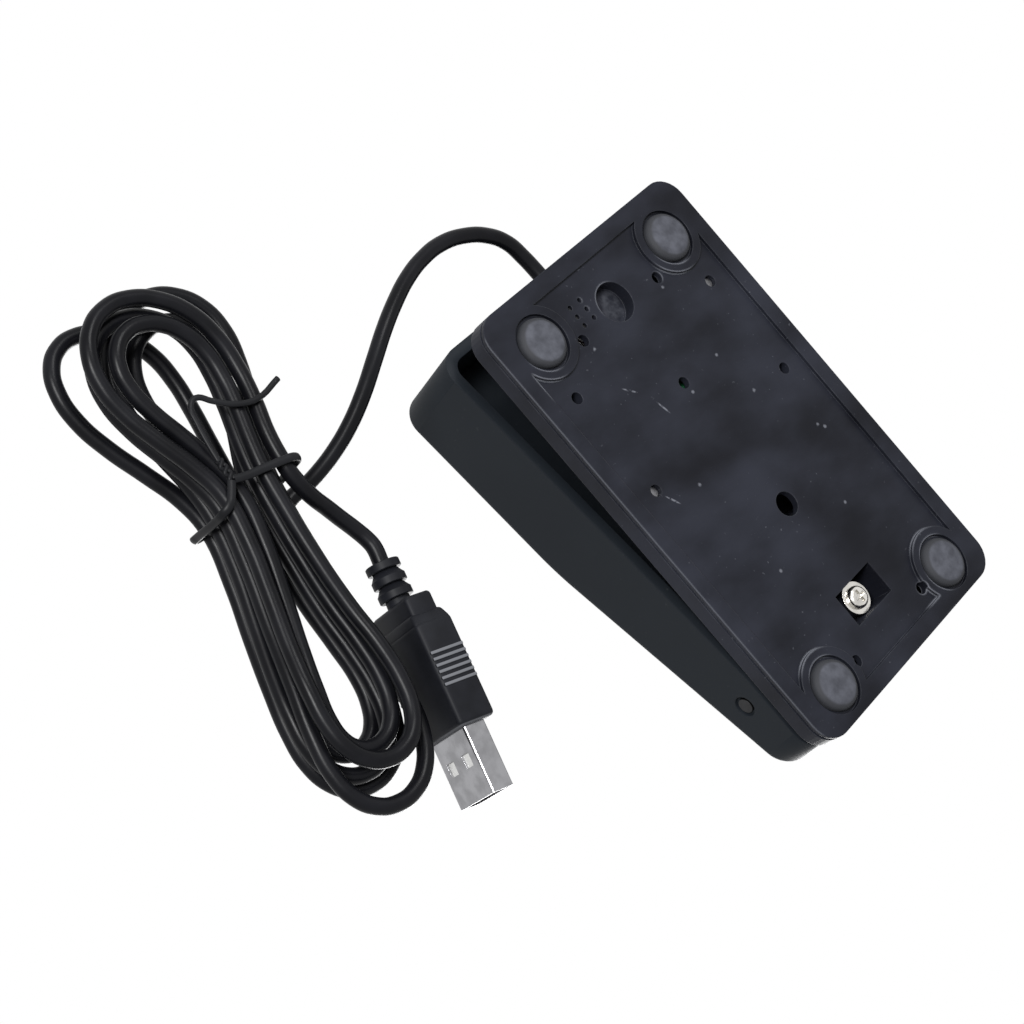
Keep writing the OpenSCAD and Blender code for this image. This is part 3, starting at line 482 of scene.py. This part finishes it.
conductors = []
for number in range(core_n):
    from_middle = number - (core_n - 1) / 2
    start_x = cord_x + from_middle * core_pitch
    end_x = cord_x + from_middle * header_pitch
    start_z = cord_z + (number % 2 - 0.5) * core_stagger
    conductors.append([
        (start_x, jacket_end_y + 2, start_z),
        (start_x, jacket_end_y - 1.2, start_z + 0.4),
        (end_x, (jacket_end_y + header_face_y) / 2, (cord_z + header_wire_z) / 2),
        (end_x, header_face_y + 1, header_wire_z),
        (end_x, header_face_y - 0.4, header_wire_z),
    ])
conductor_mesh = wire_mesh(conductors, wire_d)
piece("conductors", conductor_mesh, conductor_sheath(), "wire_sheath", "base", "cord_wires", sharp=60)

leads = []
for side in (-1, 1):
    outer_x = side * lead_x
    leads.append([
        (side * terminal_x, switch_y, lead_z),
        (side * (terminal_x + 1.6), switch_y, lead_z),
        (outer_x, switch_y + 3, lead_z),
        (outer_x, switch_y + 12, lead_z),
        (outer_x, pad_y - 6, lead_z + 0.6),
        (outer_x, pad_y - 3, board_top - 0.4),
        (outer_x, pad_y - 0.8, board_top + 2),
        (outer_x, pad_y, board_top + 1.2),
        (outer_x, pad_y, board_top - 0.3),
    ])
dark_sheath = moulded_plastic(
    "dark_sheath", rgb(0.02, 0.02, 0.022), rgb(0.035, 0.035, 0.038), 0.42, 0.4, edge=0
)
lead_mesh = wire_mesh(leads, wire_d)
piece("switch_leads", lead_mesh, dark_sheath, "wire_sheath", "base", "switch_wires", sharp=60)

# Switch
# A snap-action switch screwed to a bracket of the base: black case, red plunger and brass terminals.
switch_plastic = moulded_plastic("switch_plastic", rgb(0.009, 0.009, 0.01), rgb(0.016, 0.016, 0.018), 0.4)
plunger_plastic = moulded_plastic(
    "plunger_plastic", rgb(0.2, 0.016, 0.012), rgb(0.28, 0.026, 0.02), 0.38, 0.4
)
dress(switch_plastic, "switch_case")
dress(plunger_plastic, "switch_plunger")
dress(plated_metal("contact_brass", (0.66, 0.55, 0.32), 0.3, (1, 3, 1)), "switch_terminals")
dress(screw_nickel, "switch_screws")

# Return spring
# Spring steel wire wound into an open coil with its end curls closed, between the base and the pedal's
# seat.
spring_at = (0.0, 37.1)
spring_low = 7.4
spring_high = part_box("return_spring")[1].z / MM
spring_r = 4.05
spring_wire = 0.9
spring_turns = 7
spring_rise = spring_high - spring_low
closed_turns = 0.75
coil_steps = 24


def coil_height(turn):
    """Height of the wire's middle: the first and last closed turns lie wire on wire."""
    open_share = (turn - closed_turns) / (spring_turns - 2 * closed_turns)
    open_share = min(1, max(0, open_share))
    curled = spring_wire * (min(turn, closed_turns) + max(0, turn - spring_turns + closed_turns))
    open_rise = spring_rise - spring_wire - 2 * closed_turns * spring_wire
    return spring_low + spring_wire / 2 + curled + open_rise * open_share


coil = []
for step in range(coil_steps * spring_turns + 1):
    turn = step / coil_steps
    angle = math.tau * turn
    coil.append((
        spring_at[0] + spring_r * math.cos(angle),
        spring_at[1] + spring_r * math.sin(angle),
        coil_height(turn),
    ))
spring_steel = plated_metal("spring_steel", (0.46, 0.46, 0.47), 0.3, edge=0)
coil_mesh = wire_mesh([coil], spring_wire, 2)
spring = piece("spring_coil", coil_mesh, spring_steel, "spring_steel", "base", "return_spring", sharp=60)
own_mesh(spring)

# Cord grommet and clamp
# A rubber sleeve let into the end wall and a moulded block behind it keep pulls off the board.
sleeve_rubber = moulded_plastic("sleeve_rubber", rgb(0.009, 0.009, 0.01), rgb(0.016, 0.016, 0.018), 0.55)
clamp_plastic = moulded_plastic("clamp_plastic", rgb(0.03, 0.031, 0.034), rgb(0.045, 0.046, 0.05), 0.48)
dress(sleeve_rubber, "cord_grommet")
dress(clamp_plastic, "cord_clamp")

# Cord
# One length of round black PVC lead. It leaves the end wall, lies on the floor, climbs onto the hank, goes
# six times round it and comes out beside its waist to the plug. A tie pinches the loops at the waist.
lie_z = cord_d / 2 + 0.02
hank_middle = (87.6, 51.4)
hank_turn = math.radians(13)
loops = 6
loop_rings = 32
first_turn = 0.03
last_turn = loops - 0.05
# The cord winds inwards in one layer and outwards in the next, with its loops side by side at the waist
loop_step = 3.55
layer_step = 3.5
layer_starts = (1.18, 2.75, 4.18)
layer_run = 0.5
layer_n = len(layer_starts)
outer_rank = loops / 4
waist_in = 0.5 * loop_step
# How far each loop reaches from the waist, and how much it leans aside there, with upper and lower as in
# the photograph
upper_reach = (39, 35, 40, 37, 34, 39)
lower_reach = (51, 45, 49, 56, 46, 49)
upper_lean = (-0.31, 0.11, 0.11, -0.17, -0.17, -0.17)
lower_lean = (-0.06, -0.06, -0.1, -0.07, -0.07, -0.06)
lean_in = 8
# Half widths of the hank's upper and lower half, for the innermost and the outermost loop
upper_right = (8.9, 14.6)
upper_left = (9.4, 17)
lower_right = (6.8, 12.6)
lower_left = (7.5, 13.3)
fold_width = 4
# The hank is lifted at its waist, where the tie passes under it, and lies on the floor at its ends
lift = 1.35
lift_flat = 20
lift_end = 36


def smooth(share):
    share = min(1, max(0, share))
    return share * share * (3 - 2 * share)


def lobe(widths, rank):
    """Half width of a loop. The innermost loop has rank 0."""
    inner, outer = widths
    return inner + (outer - inner) * rank / outer_rank


def hank_local(turns):
    """A point of the hank after a number of turns, as distance across it, along it and up."""
    rank = outer_rank * abs(1 - turns / outer_rank % 2)
    layer = sum(smooth((turns - start) / layer_run) for start in layer_starts)
    cosine = math.cos(math.tau * turns)
    sine = math.sin(math.tau * turns)
    steep = abs(sine)
    lower = sine > 0
    right = lobe(lower_right if lower else upper_right, rank)
    left = lobe(lower_left if lower else upper_left, rank)
    reach = (lower_reach if lower else upper_reach)[math.floor(turns)]
    lean = (lower_lean if lower else upper_lean)[math.floor(turns)]
    waist = waist_in + rank * loop_step
    bulge = (right + left) / 2 + cosine * (right - left) / 2
    half = waist + (bulge - waist) * smooth(steep)
    fold_round = (1 - fold_width * (right + left) / 2 / reach) / 2
    along = -reach * sine * (1 + fold_round * (1 - sine * sine))
    run = abs(along)
    leaning = run * run / (run + lean_in) * lean
    across = half * cosine * math.sqrt(1 + steep ** 2 + steep ** 4) + leaning
    lifted = lift * (1 - smooth((run - lift_flat) / (lift_end - lift_flat)))
    return (across, along, lie_z + lifted + (layer_n - layer) * layer_step)


def hank_world(point):
    across, along, up = point
    return Vector((
        hank_middle[0] - across * math.cos(hank_turn) - along * math.sin(hank_turn),
        hank_middle[1] - across * math.sin(hank_turn) + along * math.cos(hank_turn),
        up,
    ))


low_z = lie_z + lift
top_z = low_z + layer_n * layer_step
plug_middle = Vector((84.9, -1.1, 8.0))
plug_z = plug_middle.z
plug_turn = math.radians(-70.5)
relief_end = -32.0


def plug_point(along):
    return plug_middle + Vector((math.cos(plug_turn), math.sin(plug_turn), 0)) * along


# Offsets from the place where the cord leaves the end wall
lead_points = [
    (0, -8, cord_z), (0, -3, cord_z), (0, 1, cord_z),
    (0.6, 4.5, 3.6), (2.4, 8.4, 2.4), (5.4, 11.6, lie_z + 0.3),
    (10, 14.2, lie_z), (15.4, 15.6, lie_z), (21, 15.5, lie_z), (26.4, 14.4, lie_z),
    (32, 12.4, lie_z), (37.4, 9.9, lie_z + 0.3), (42.9, 6.7, 2.9), (48, 3.5, 4.7),
    (53, 0.8, 7), (57.4, -0.9, 9.1), (61.4, -1.9, 11),
]
# Across the hank, along it and up
lead_turn = [(15, -0.4, top_z - 0.9), (11.8, -1.2, top_z - 0.3), (9.3, -2.8, top_z)]
tail_waist = 8.2
tail_points = [
    (7.8, 3.4, low_z + 0.1), (tail_waist, 0.9, low_z + 0.4), (9.2, -1.6, low_z + 1),
    (10.8, -4, low_z + 2.1), (12.9, -6.2, low_z + 3.4), (15, -8.8, low_z + 4.5),
    (17, -11.6, plug_z + 0.1), (18.2, -14.4, plug_z + 0.1),
]
route = [Vector((cord_x, jacket_end_y, cord_z))]
route += [Vector((cord_x + x, toe_y + y, z)) for x, y, z in lead_points]
route += [hank_world(point) for point in lead_turn]
ring_n = round((last_turn - first_turn) * loop_rings)
for ring in range(ring_n + 1):
    route.append(hank_world(hank_local(first_turn + (last_turn - first_turn) * ring / ring_n)))
route += [hank_world(point) for point in tail_points]
route += [plug_point(relief_end - cord_d), plug_point(relief_end), plug_point(relief_end + 1)]


def cord_pvc():
    finish = Finish("cord_pvc", 0.1)
    smear = finish.at.noise(9 * MM, 4)
    skin = finish.at.noise(0.5 * MM, 2)
    colour = smear.rise(0.3, 0.75).tint(rgb(0.0030, 0.0031, 0.0040), rgb(0.0062, 0.0064, 0.0082))
    return finish.surface(colour, 0.3 + (smear - 0.5) * 0.2 + skin * 0.06, skin, 0.008 * MM)


cord = bent_wire("cord", route, cord_d, 6)
cord.data.bevel_resolution = 6
handed(cord, cord_pvc(), "cord_pvc", "base", "cord_lead", "cord_hank", "cord_tail")

# Twist tie
# A short length of black coated wire bound once round the waist, its ends twisted together below the
# strands and one of them bent across the loops.
tie_wide = 1.5
arm_wide = 1.1
tie_thick = 0.8
tie_z = 0.55
tie_gap = 0.4
tie_off = cord_d / 2 + tie_gap + tie_thick / 2
left_room = 0.7
tie_right = tail_waist + tie_off
tie_left = -(waist_in + loop_step + tie_off + left_room)
tie_high = top_z + tie_off
bend = 1.8
twist_turns = 1.5
twist_steps = 20
twist_wide = 0.5
twist_high = 0.14
twist_from = Vector((-3.9, 3.6, tie_z))
twist_to = Vector((-4.4, 7.4, tie_z))
section_points = 8
section_reach = 0.55


def twisted(start_angle):
    """One of the two wires of the twist, from the waist outwards."""
    points = []
    for step in range(twist_steps + 1):
        share = step / twist_steps
        angle = start_angle + math.tau * twist_turns * share
        off = Vector((twist_wide * math.cos(angle), 0, twist_high * math.sin(angle)))
        points.append(hank_world(twist_from.lerp(twist_to, share) + off))
    return points


def ribbon(path, wide):
    """A flat coated wire along a path over the hank, with an oval section."""
    outline = bpy.data.objects.new("tie_section", bpy.data.curves.new("tie_section", "CURVE"))
    oval = outline.data.splines.new("NURBS")
    oval.points.add(section_points - 1)
    for number, point in enumerate(oval.points):
        angle = math.tau * number / section_points
        across = wide * section_reach * math.cos(angle)
        up = tie_thick * section_reach * math.sin(angle)
        point.co = (across * MM, up * MM, 0, 1)
    oval.use_cyclic_u = True
    mesh = wire_mesh([[hank_world(point) for point in path]], tie_thick, 5, outline)
    bpy.data.objects.remove(outline)
    return mesh


tie_arm = [
    (13.7, 16.4, tie_z), (8.1, 14.5, tie_z), (3.8, 15.1, tie_z), (0.3, 17, tie_z), (-2.4, 18.6, tie_z),
    (-4, 17.4, tie_z), (-4.4, 14.6, tie_z), (-4.5, 11, tie_z), (-4.4, 7.2, tie_z),
]
tie_ring = [
    (-3.6, 3.5, tie_z), (-1.2, 3.2, tie_z), (2.2, 3.2, tie_z),
    (tie_right - 2 * bend, 3.1, tie_z), (tie_right - bend, 3, tie_z + 0.1),
    (tie_right - 0.3, 2.7, tie_z + bend - 0.6), (tie_right, 2.5, tie_z + 2 * bend),
    (tie_right, 2, tie_high - 2 * bend), (tie_right - 0.4, 1.8, tie_high - 0.9),
    (tie_right - bend, 1.6, tie_high - 0.1),
    (0, 0.6, tie_high),
    (tie_left + bend, -0.6, tie_high - 0.1), (tie_left + 0.4, -0.7, tie_high - 0.9),
    (tie_left, -0.8, tie_high - 2 * bend), (tie_left, -1.1, tie_z + 2 * bend),
    (tie_left + 0.3, -0.9, tie_z + bend - 0.6), (tie_left + bend - 0.2, -0.2, tie_z + 0.1),
    (-5.2, 1.7, tie_z), (-4.2, 3.4, tie_z),
]
binding = wire_mesh([twisted(0), twisted(math.pi)], tie_thick, 3)
add_mesh(binding, ribbon(tie_arm, arm_wide))
add_mesh(binding, ribbon(tie_ring, tie_wide))
tie_pvc = moulded_plastic(
    "tie_pvc", rgb(0.005, 0.0052, 0.0062), rgb(0.010, 0.0104, 0.012), 0.4, 0.1, edge=0
)
tie = piece("tie_wire", binding, tie_pvc, "tie_pvc", "base", "twist_tie", sharp=60)

# Plug
# A plated steel shell round a white tongue with four gilt contacts, in a moulded charcoal grip that stands
# on its narrow side. The grip steps in to a neck and a ribbed strain relief. Raised lines mark both sides.
grip_l = 24.0
grip_w = 15.5
grip_t = 7.5
grip_round = 0.9
grip_back = -18.9
shoulder_from = -20.6
shoulder_to = -18.2
shoulder_w = grip_w - 0.2
shoulder_round = 0.6
shoulder_draw = 0.86
neck_to = -18.6
neck_w = 13.1
neck_t = 5.5
neck_round = 0.8
ridge_n = 6
ridge_pitch = 1.15
ridge_start = -13.2
ridge_w = 0.54
ridge_bar = 0.8
ridge_l = grip_t - 0.8
ridge_round = 0.12
ridge_sink = 0.15
relief_r = 2.2
relief_to = -23.8
bead_n = 3
bead_r = 3.1
bead_l = 1.5
bead_pitch = 2.6
bead_edge = 0.15
bead_start = relief_end + 0.1
# Half of the relief's section from the cord to the neck: distance from the middle, place along the plug
relief_section = [(0, relief_end), (relief_r, relief_end), (relief_r, bead_start)]
for bead in range(bead_n):
    bead_from = bead_start + bead * bead_pitch
    bead_to = bead_from + bead_l
    relief_section += [
        (bead_r - bead_edge, bead_from), (bead_r, bead_from + bead_edge),
        (bead_r, bead_to - bead_edge), (bead_r - bead_edge, bead_to), (relief_r, bead_to),
    ]
relief_section += [(relief_r + 0.1, relief_to), (0, relief_to)]
at_plug = Matrix.Translation(plug_point(0) * MM) @ Matrix.Rotation(plug_turn, 4, "Z")
along_plug = Matrix(((0, 0, 1, 0), (0, 1, 0, 0), (-1, 0, 0, 0), (0, 0, 0, 1)))


def round_edges(mesh, edges, radius, steps=4):
    bmesh.ops.bevel(
        mesh, geom=edges, offset=radius * MM, segments=steps, profile=0.5, affect="EDGES", material=-1
    )


def rounded_bar(mesh, x_from, x_to, thick, wide, radius, draw=1.0, up=0.0):
    """A bar along the plug with rounded edges. Its far end may be drawn in, and it may lie off the axis."""
    made = bmesh.ops.create_cube(mesh, size=MM)["verts"]
    for vert in made:
        shrink = draw if vert.co.x < 0 else 1.0
        vert.co.x = vert.co.x * (x_to - x_from) + (x_from + x_to) / 2 * MM
        vert.co.y = vert.co.y * thick * shrink
        vert.co.z = vert.co.z * wide * shrink + up * MM
    round_edges(mesh, list({edge for vert in made for edge in vert.link_edges}), radius)


grip = bmesh.new()
spun(grip, relief_section, 40, along_plug)
rounded_bar(grip, grip_back, 0, grip_t, grip_w, grip_round)
rounded_bar(grip, shoulder_from, shoulder_to, grip_t, shoulder_w, shoulder_round, shoulder_draw)
rounded_bar(grip, -grip_l, neck_to, neck_t, neck_w, neck_round)
for number in range(ridge_n):
    ridge_x = ridge_start + number * ridge_pitch
    for side in (-1, 1):
        ridge_up = side * (grip_w / 2 - ridge_sink)
        ends = (ridge_x - ridge_w / 2, ridge_x + ridge_w / 2)
        rounded_bar(grip, *ends, ridge_l, ridge_bar, ridge_round, up=ridge_up)
bmesh.ops.transform(grip, matrix=at_plug, verts=grip.verts)


def grip_pvc():
    finish = Finish("plug_pvc", 0.11)
    cloud = finish.at.noise(6 * MM, 4)
    skin = finish.at.noise(0.2 * MM, 1)
    from_middle = (finish.at.axis("Z") - plug_z * MM).magnitude()
    ridge = from_middle.rise((grip_w / 2 + 0.05) * MM, (grip_w / 2 + 0.2) * MM)
    along = finish.at.placed(plug_point(0) * MM, (0, 0, plug_turn)).axis("X")
    # Pale ridge tops, and a painted highlight along the grip's front lip
    lip_highlight = along.rise(-0.45 * MM, -0.2 * MM)
    plain = cloud.rise(0.3, 0.7).tint(rgb(0.0048, 0.0052, 0.0069), rgb(0.0088, 0.0095, 0.0124))
    wear_and_highlight = (ridge * 0.75).larger(lip_highlight * 0.6).tint(plain, rgb(0.16, 0.165, 0.18))
    return finish.surface(wear_and_highlight, 0.5 + (cloud - 0.5) * 0.2, skin, 0.008 * MM)


plug_grip = piece("plug_moulding", grip, grip_pvc(), "cord_pvc", "base", "plug_grip")
plug_lines = (5, 1, 1)
plug_plate = plated_metal(
    "plug_plate", (0.34, 0.34, 0.355), 0.16, plug_lines, (0, 0, plug_turn), 0.05 * MM
)
contact_gilt = plated_metal("contact_gilt", (0.83, 0.62, 0.27), 0.2, plug_lines, (0, 0, plug_turn))
tongue_plastic = moulded_plastic(
    "tongue_plastic", rgb(0.62, 0.62, 0.61), rgb(0.72, 0.72, 0.71), 0.4, 0.45, 0.15 * MM
)
dress(plug_plate, "plug_shell")
dress(tongue_plastic, "plug_tongue")
dress(contact_gilt, "plug_contacts")

# Pedal
# A wedge-shaped hollow moulding in black plastic, open below, that turns on the pin near its low end.
# Its rim is trimmed level over the hinge, and its top has a field of shallow moulded ribs.
body_w = 62.0
body_l = 100.0
corner_r = 5.2
corner_steps = 12
edge_r = 1.5
inner_edge_r = 0.6
edge_steps = 6
rim_z = 6.25
trim_z = 6.7
top_flat_z = 26.15
kink_y = 7.0
kink_r = 4.0
heel_drop = 8.5
wall = 2.4
hollow_below = 8.0
hinge_y = -35.3
hinge_z = 12.4
raise_angle = math.radians(6.4)
pin_d = 3.0
pin_fit = 0.1
pin_recess_d = 4.2
pin_recess = 0.8
rib_n = 9
rib_w = 2.2
rib_h = 0.6
rib_pitch = 4.4
rib_half = 23.0
rib_round = 0.9
rib_margin = 5.0
tiny = 1e-6
hinge_at = Vector((0, hinge_y, hinge_z)) * MM
turned_up = Matrix.Rotation(raise_angle, 4, "X")
raised = Matrix.Translation(hinge_at) @ turned_up @ Matrix.Translation(-hinge_at)


def pedal_plastic():
    finish = Finish("pedal_plastic", 0.09)
    cloud = finish.at.noise(30 * MM, 4)
    skin = finish.at.noise(0.22 * MM, 2)
    pale_spot = finish.at.noise(1.1 * MM, 3).rise(0.66, 0.8) * cloud.rise(0.4, 0.7)
    plain = cloud.rise(0.25, 0.75).tint(rgb(0.0085, 0.0108, 0.0142), rgb(0.0122, 0.015, 0.0188))
    colour = (pale_spot * 0.3).tint(plain, rgb(0.06, 0.065, 0.066))
    return finish.surface(colour, 0.5 + (cloud - 0.5) * 0.16, skin, 0.012 * MM)


def wedge(inset, low, corner, rounding):
    """A closed wedge like the pedal, drawn in by an inset, from a low level up, and raised about the pin."""
    mesh = bmesh.new()
    half_w = body_w / 2 - inset
    half_l = body_l / 2 - inset
    flat_z = top_flat_z - inset
    heel_z = flat_z - heel_drop * (kink_y + half_l) / (kink_y + body_l / 2)
    outline = [(half_l, low), (half_l, flat_z), (kink_y, flat_z), (-half_l, heel_z), (-half_l, low)]
    side_face = mesh.faces.new([mesh.verts.new((-half_w * MM, y * MM, z * MM)) for y, z in outline])
    extruded = bmesh.ops.extrude_face_region(mesh, geom=[side_face])
    moved = [part for part in extruded["geom"] if isinstance(part, bmesh.types.BMVert)]
    bmesh.ops.translate(mesh, verts=moved, vec=(2 * half_w * MM, 0, 0))
    bmesh.ops.recalc_face_normals(mesh, faces=mesh.faces)
    upright_edges = [
        edge for edge in mesh.edges
        if (edge.verts[0].co - edge.verts[1].co).to_2d().length < tiny
    ]
    round_edges(mesh, upright_edges, corner, corner_steps)
    kink_edges = [
        edge for edge in mesh.edges
        if all(abs(vert.co.y - kink_y * MM) < tiny for vert in edge.verts)
        and all(vert.co.z > (flat_z - 0.1) * MM for vert in edge.verts)
    ]
    round_edges(mesh, kink_edges, kink_r, edge_steps)
    top_edges = [
        edge for edge in mesh.edges
        if max(face.normal.z for face in edge.link_faces) > 0.9
        and abs(min(face.normal.z for face in edge.link_faces)) < 0.5
    ]
    round_edges(mesh, top_edges, rounding, edge_steps)
    bmesh.ops.transform(mesh, matrix=raised, verts=mesh.verts)
    return mesh


def cross_rod(mesh, diameter, x_from, x_to, centre, radius=0.0, sides=40):
    """A round rod across the pedal. Its ends may be rounded."""
    made = bmesh.ops.create_cone(
        mesh,
        cap_ends=True,
        segments=sides,
        radius1=diameter / 2 * MM,
        radius2=diameter / 2 * MM,
        depth=(x_to - x_from) * MM,
    )["verts"]
    middle = Matrix.Translation(Vector(((x_from + x_to) / 2, *centre)) * MM)
    bmesh.ops.transform(mesh, matrix=middle @ Matrix.Rotation(math.pi / 2, 4, "Y"), verts=made)
    if radius:
        end_edges = {
            edge for vert in made for edge in vert.link_edges
            if abs(edge.verts[0].co.x - edge.verts[1].co.x) < 1e-7
        }
        round_edges(mesh, list(end_edges), radius)


shell = wedge(0, rim_z, corner_r, edge_r)
trimmed = bmesh.ops.bisect_plane(
    shell,
    geom=[*shell.verts, *shell.edges, *shell.faces],
    plane_co=(0, 0, trim_z * MM),
    plane_no=(0, 0, 1),
    clear_inner=True,
)
cut_edges = [part for part in trimmed["geom_cut"] if isinstance(part, bmesh.types.BMEdge)]
bmesh.ops.edgenet_fill(shell, edges=cut_edges)
bmesh.ops.recalc_face_normals(shell, faces=shell.faces)
hollow = wedge(wall, rim_z - hollow_below, corner_r - wall, inner_edge_r)
cross_rod(hollow, pin_d + pin_fit, -body_w, body_w, (hinge_y, hinge_z))
for side in (-1, 1):
    ends = sorted((side * (body_w / 2 - pin_recess), side * body_w))
    cross_rod(hollow, pin_recess_d, *ends, (hinge_y, hinge_z))
blank = as_object("pedal_blank", shell)
cutter = as_object("pedal_hollow", hollow)
for thing in (blank, cutter):
    bpy.context.scene.collection.objects.link(thing)
bore = blank.modifiers.new("hollow and pin holes", "BOOLEAN")
bore.object = cutter
bore.operation = "DIFFERENCE"
bore.solver = "EXACT"
bore.use_self = True
soften = blank.modifiers.new("soft edges", "BEVEL")
soften.width = 0.2 * MM
soften.segments = 2
soften.limit_method = "ANGLE"
soften.angle_limit = math.radians(50)
moulding = finished_mesh(blank)
moulding.name = "pedal_moulding"
bpy.data.objects.remove(cutter)
bpy.data.objects.remove(blank)
pedal_black = pedal_plastic()
pedal = bpy.data.objects.new("pedal_moulding", moulding)
handed(pedal, pedal_black, "pedal_plastic", "pedal", "pedal_shell", sharp=30)
# The side walls are shaded flat, so that the pin holes leave no streaks in them
for face in moulding.polygons:
    face.use_smooth = abs(face.normal.x) < 0.9999

ribs = bmesh.new()
for number in range(rib_n):
    rib_y = body_l / 2 - rib_margin - number * rib_pitch
    rib_z = top_flat_z + rib_h - rib_w / 2
    cross_rod(ribs, rib_w, -rib_half, rib_half, (rib_y, rib_z), rib_round, 32)
bmesh.ops.transform(ribs, matrix=raised, verts=ribs.verts)
piece("pedal_ribs", ribs, pedal_black, "pedal_plastic", "pedal")

# Pedal bosses
# Bosses moulded under the pedal: one round each end of the pin, the seat that the spring pushes on, and
# the web whose round nose presses the switch.
boss_d = 7.0
boss_in = 25.6
boss_round = 0.25
nose_d = 2.4
nose_round = 0.3
nose_gap = 0.1
nose_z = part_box("switch_plunger")[1].z / MM + nose_gap + nose_d / 2
web_w = 6.0
web_h = 2.4
# Half of the seat's section from the stub in the coil up: distance from the middle, height over the coil
seat_section = [
    (0, -1.6), (2.0, -1.6), (2.2, -1.4), (2.2, 0), (5.3, 0), (5.5, 0.2), (5.5, 4.5), (0, 4.5),
]
bosses = bmesh.new()
for side in (-1, 1):
    ends = sorted((side * boss_in, side * (body_w / 2 - wall / 2)))
    cross_rod(bosses, boss_d, *ends, (hinge_y, hinge_z), boss_round, 48)
spun(bosses, seat_section, place=Matrix.Translation(Vector((*spring_at, spring_high)) * MM))
cross_rod(bosses, nose_d, -web_w / 2, web_w / 2, (switch_y, nose_z), nose_round, 32)
web = bmesh.ops.create_cube(bosses, size=MM)["verts"]
bmesh.ops.scale(bosses, vec=(web_w, nose_d, web_h), verts=web)
bmesh.ops.translate(bosses, vec=Vector((0, switch_y, nose_z + web_h / 2)) * MM, verts=web)
piece("pedal_bosses", bosses, pedal_black, "pedal_plastic", "pedal")

# Studio
# The photograph shows the pedal lying upside down, so its camera looks up from under the floor. The floor
# is seen from above only, and lets light and sight through from below. Soft lamps stand above and below it.
floor_reach = 3.0
floor_drop = 0.2 * MM
floor_mesh = bmesh.new()
bmesh.ops.create_grid(floor_mesh, x_segments=1, y_segments=1, size=floor_reach)
bmesh.ops.translate(floor_mesh, verts=floor_mesh.verts, vec=(0, 0, -floor_drop))
floor = as_object("floor", floor_mesh)
bpy.context.scene.collection.objects.link(floor)
paper = Finish("floor_paper")
rays = paper.tree.nodes.new("ShaderNodeLightPath")
seen = Value(paper.tree, rays.outputs["Is Camera Ray"])
back = seen.node("ShaderNodeNewGeometry", {}, {}, "Backfacing")
matt = seen.node("ShaderNodeBsdfDiffuse", {}, {"Color": rgb(0.86, 0.86, 0.86)})
clear = seen.node("ShaderNodeBsdfTransparent", {}, {})
mixed = seen.node("ShaderNodeMixShader", {}, {0: seen * (1 - back), 1: clear, 2: matt})
paper.tree.links.new(mixed.socket, paper.tree.nodes["Material Output"].inputs["Surface"])
floor.data.materials.append(paper.material)

# The world is white to the camera and in reflections, and dimmer as light
ambient = 0.3
world = bpy.data.worlds.new("studio")
world.use_nodes = True
bpy.context.scene.world = world
sky = world.node_tree.nodes["Background"]
sight = world.node_tree.nodes.new("ShaderNodeLightPath")
camera_ray = Value(world.node_tree, sight.outputs["Is Camera Ray"])
glossy_ray = Value(world.node_tree, sight.outputs["Is Glossy Ray"])
clear_ray = Value(world.node_tree, sight.outputs["Is Transmission Ray"])
direct = camera_ray.larger(glossy_ray).larger(clear_ray)
world.node_tree.links.new((ambient + direct * (1 - ambient)).socket, sky.inputs["Strength"])
sky.inputs["Color"].default_value = rgb(1, 1, 1)
lamp_aim = Vector((0.03, 0.0, 0.01))


def soft_lamp(name, place, size, power):
    """A square lamp, in metres and watts, that faces the object."""
    light = bpy.data.lights.new(name, "AREA")
    light.shape = "SQUARE"
    light.size = size
    light.energy = power
    lamp = bpy.data.objects.new(name, light)
    lamp.location = place
    lamp.rotation_euler = (lamp_aim - Vector(place)).to_track_quat("-Z", "Y").to_euler()
    bpy.context.scene.collection.objects.link(lamp)


soft_lamp("lamp_below", (-0.13, 0.35, -0.72), 0.26, 3.4)
soft_lamp("lamp_above", (-0.35, -0.4, 0.8), 0.5, 5.0)
soft_lamp("lamp_near", (0.51, 0.266, -0.6), 0.22, 7.8)

# Camera
# It stands where the photograph was taken from, below the pedal's underside and to one side of it.
camera_at = Vector((0.30141, 0.03604, -0.33401))
camera_right = Vector((-0.59391, -0.65054, -0.47339))
camera_up = Vector((-0.53797, 0.7586, -0.36761))
camera_back = Vector((0.59826, 0.03634, -0.80052))
camera_axes = Matrix((camera_right, camera_up, camera_back)).transposed()
lens = bpy.data.cameras.new("camera")
lens.lens = 84.04
lens.sensor_width = 36
lens.clip_start = 0.01
camera = bpy.data.objects.new("camera", lens)
camera.matrix_world = Matrix.Translation(camera_at) @ camera_axes.to_4x4()
bpy.context.scene.collection.objects.link(camera)
bpy.context.scene.camera = camera
bpy.context.scene.view_settings.view_transform = "Standard"
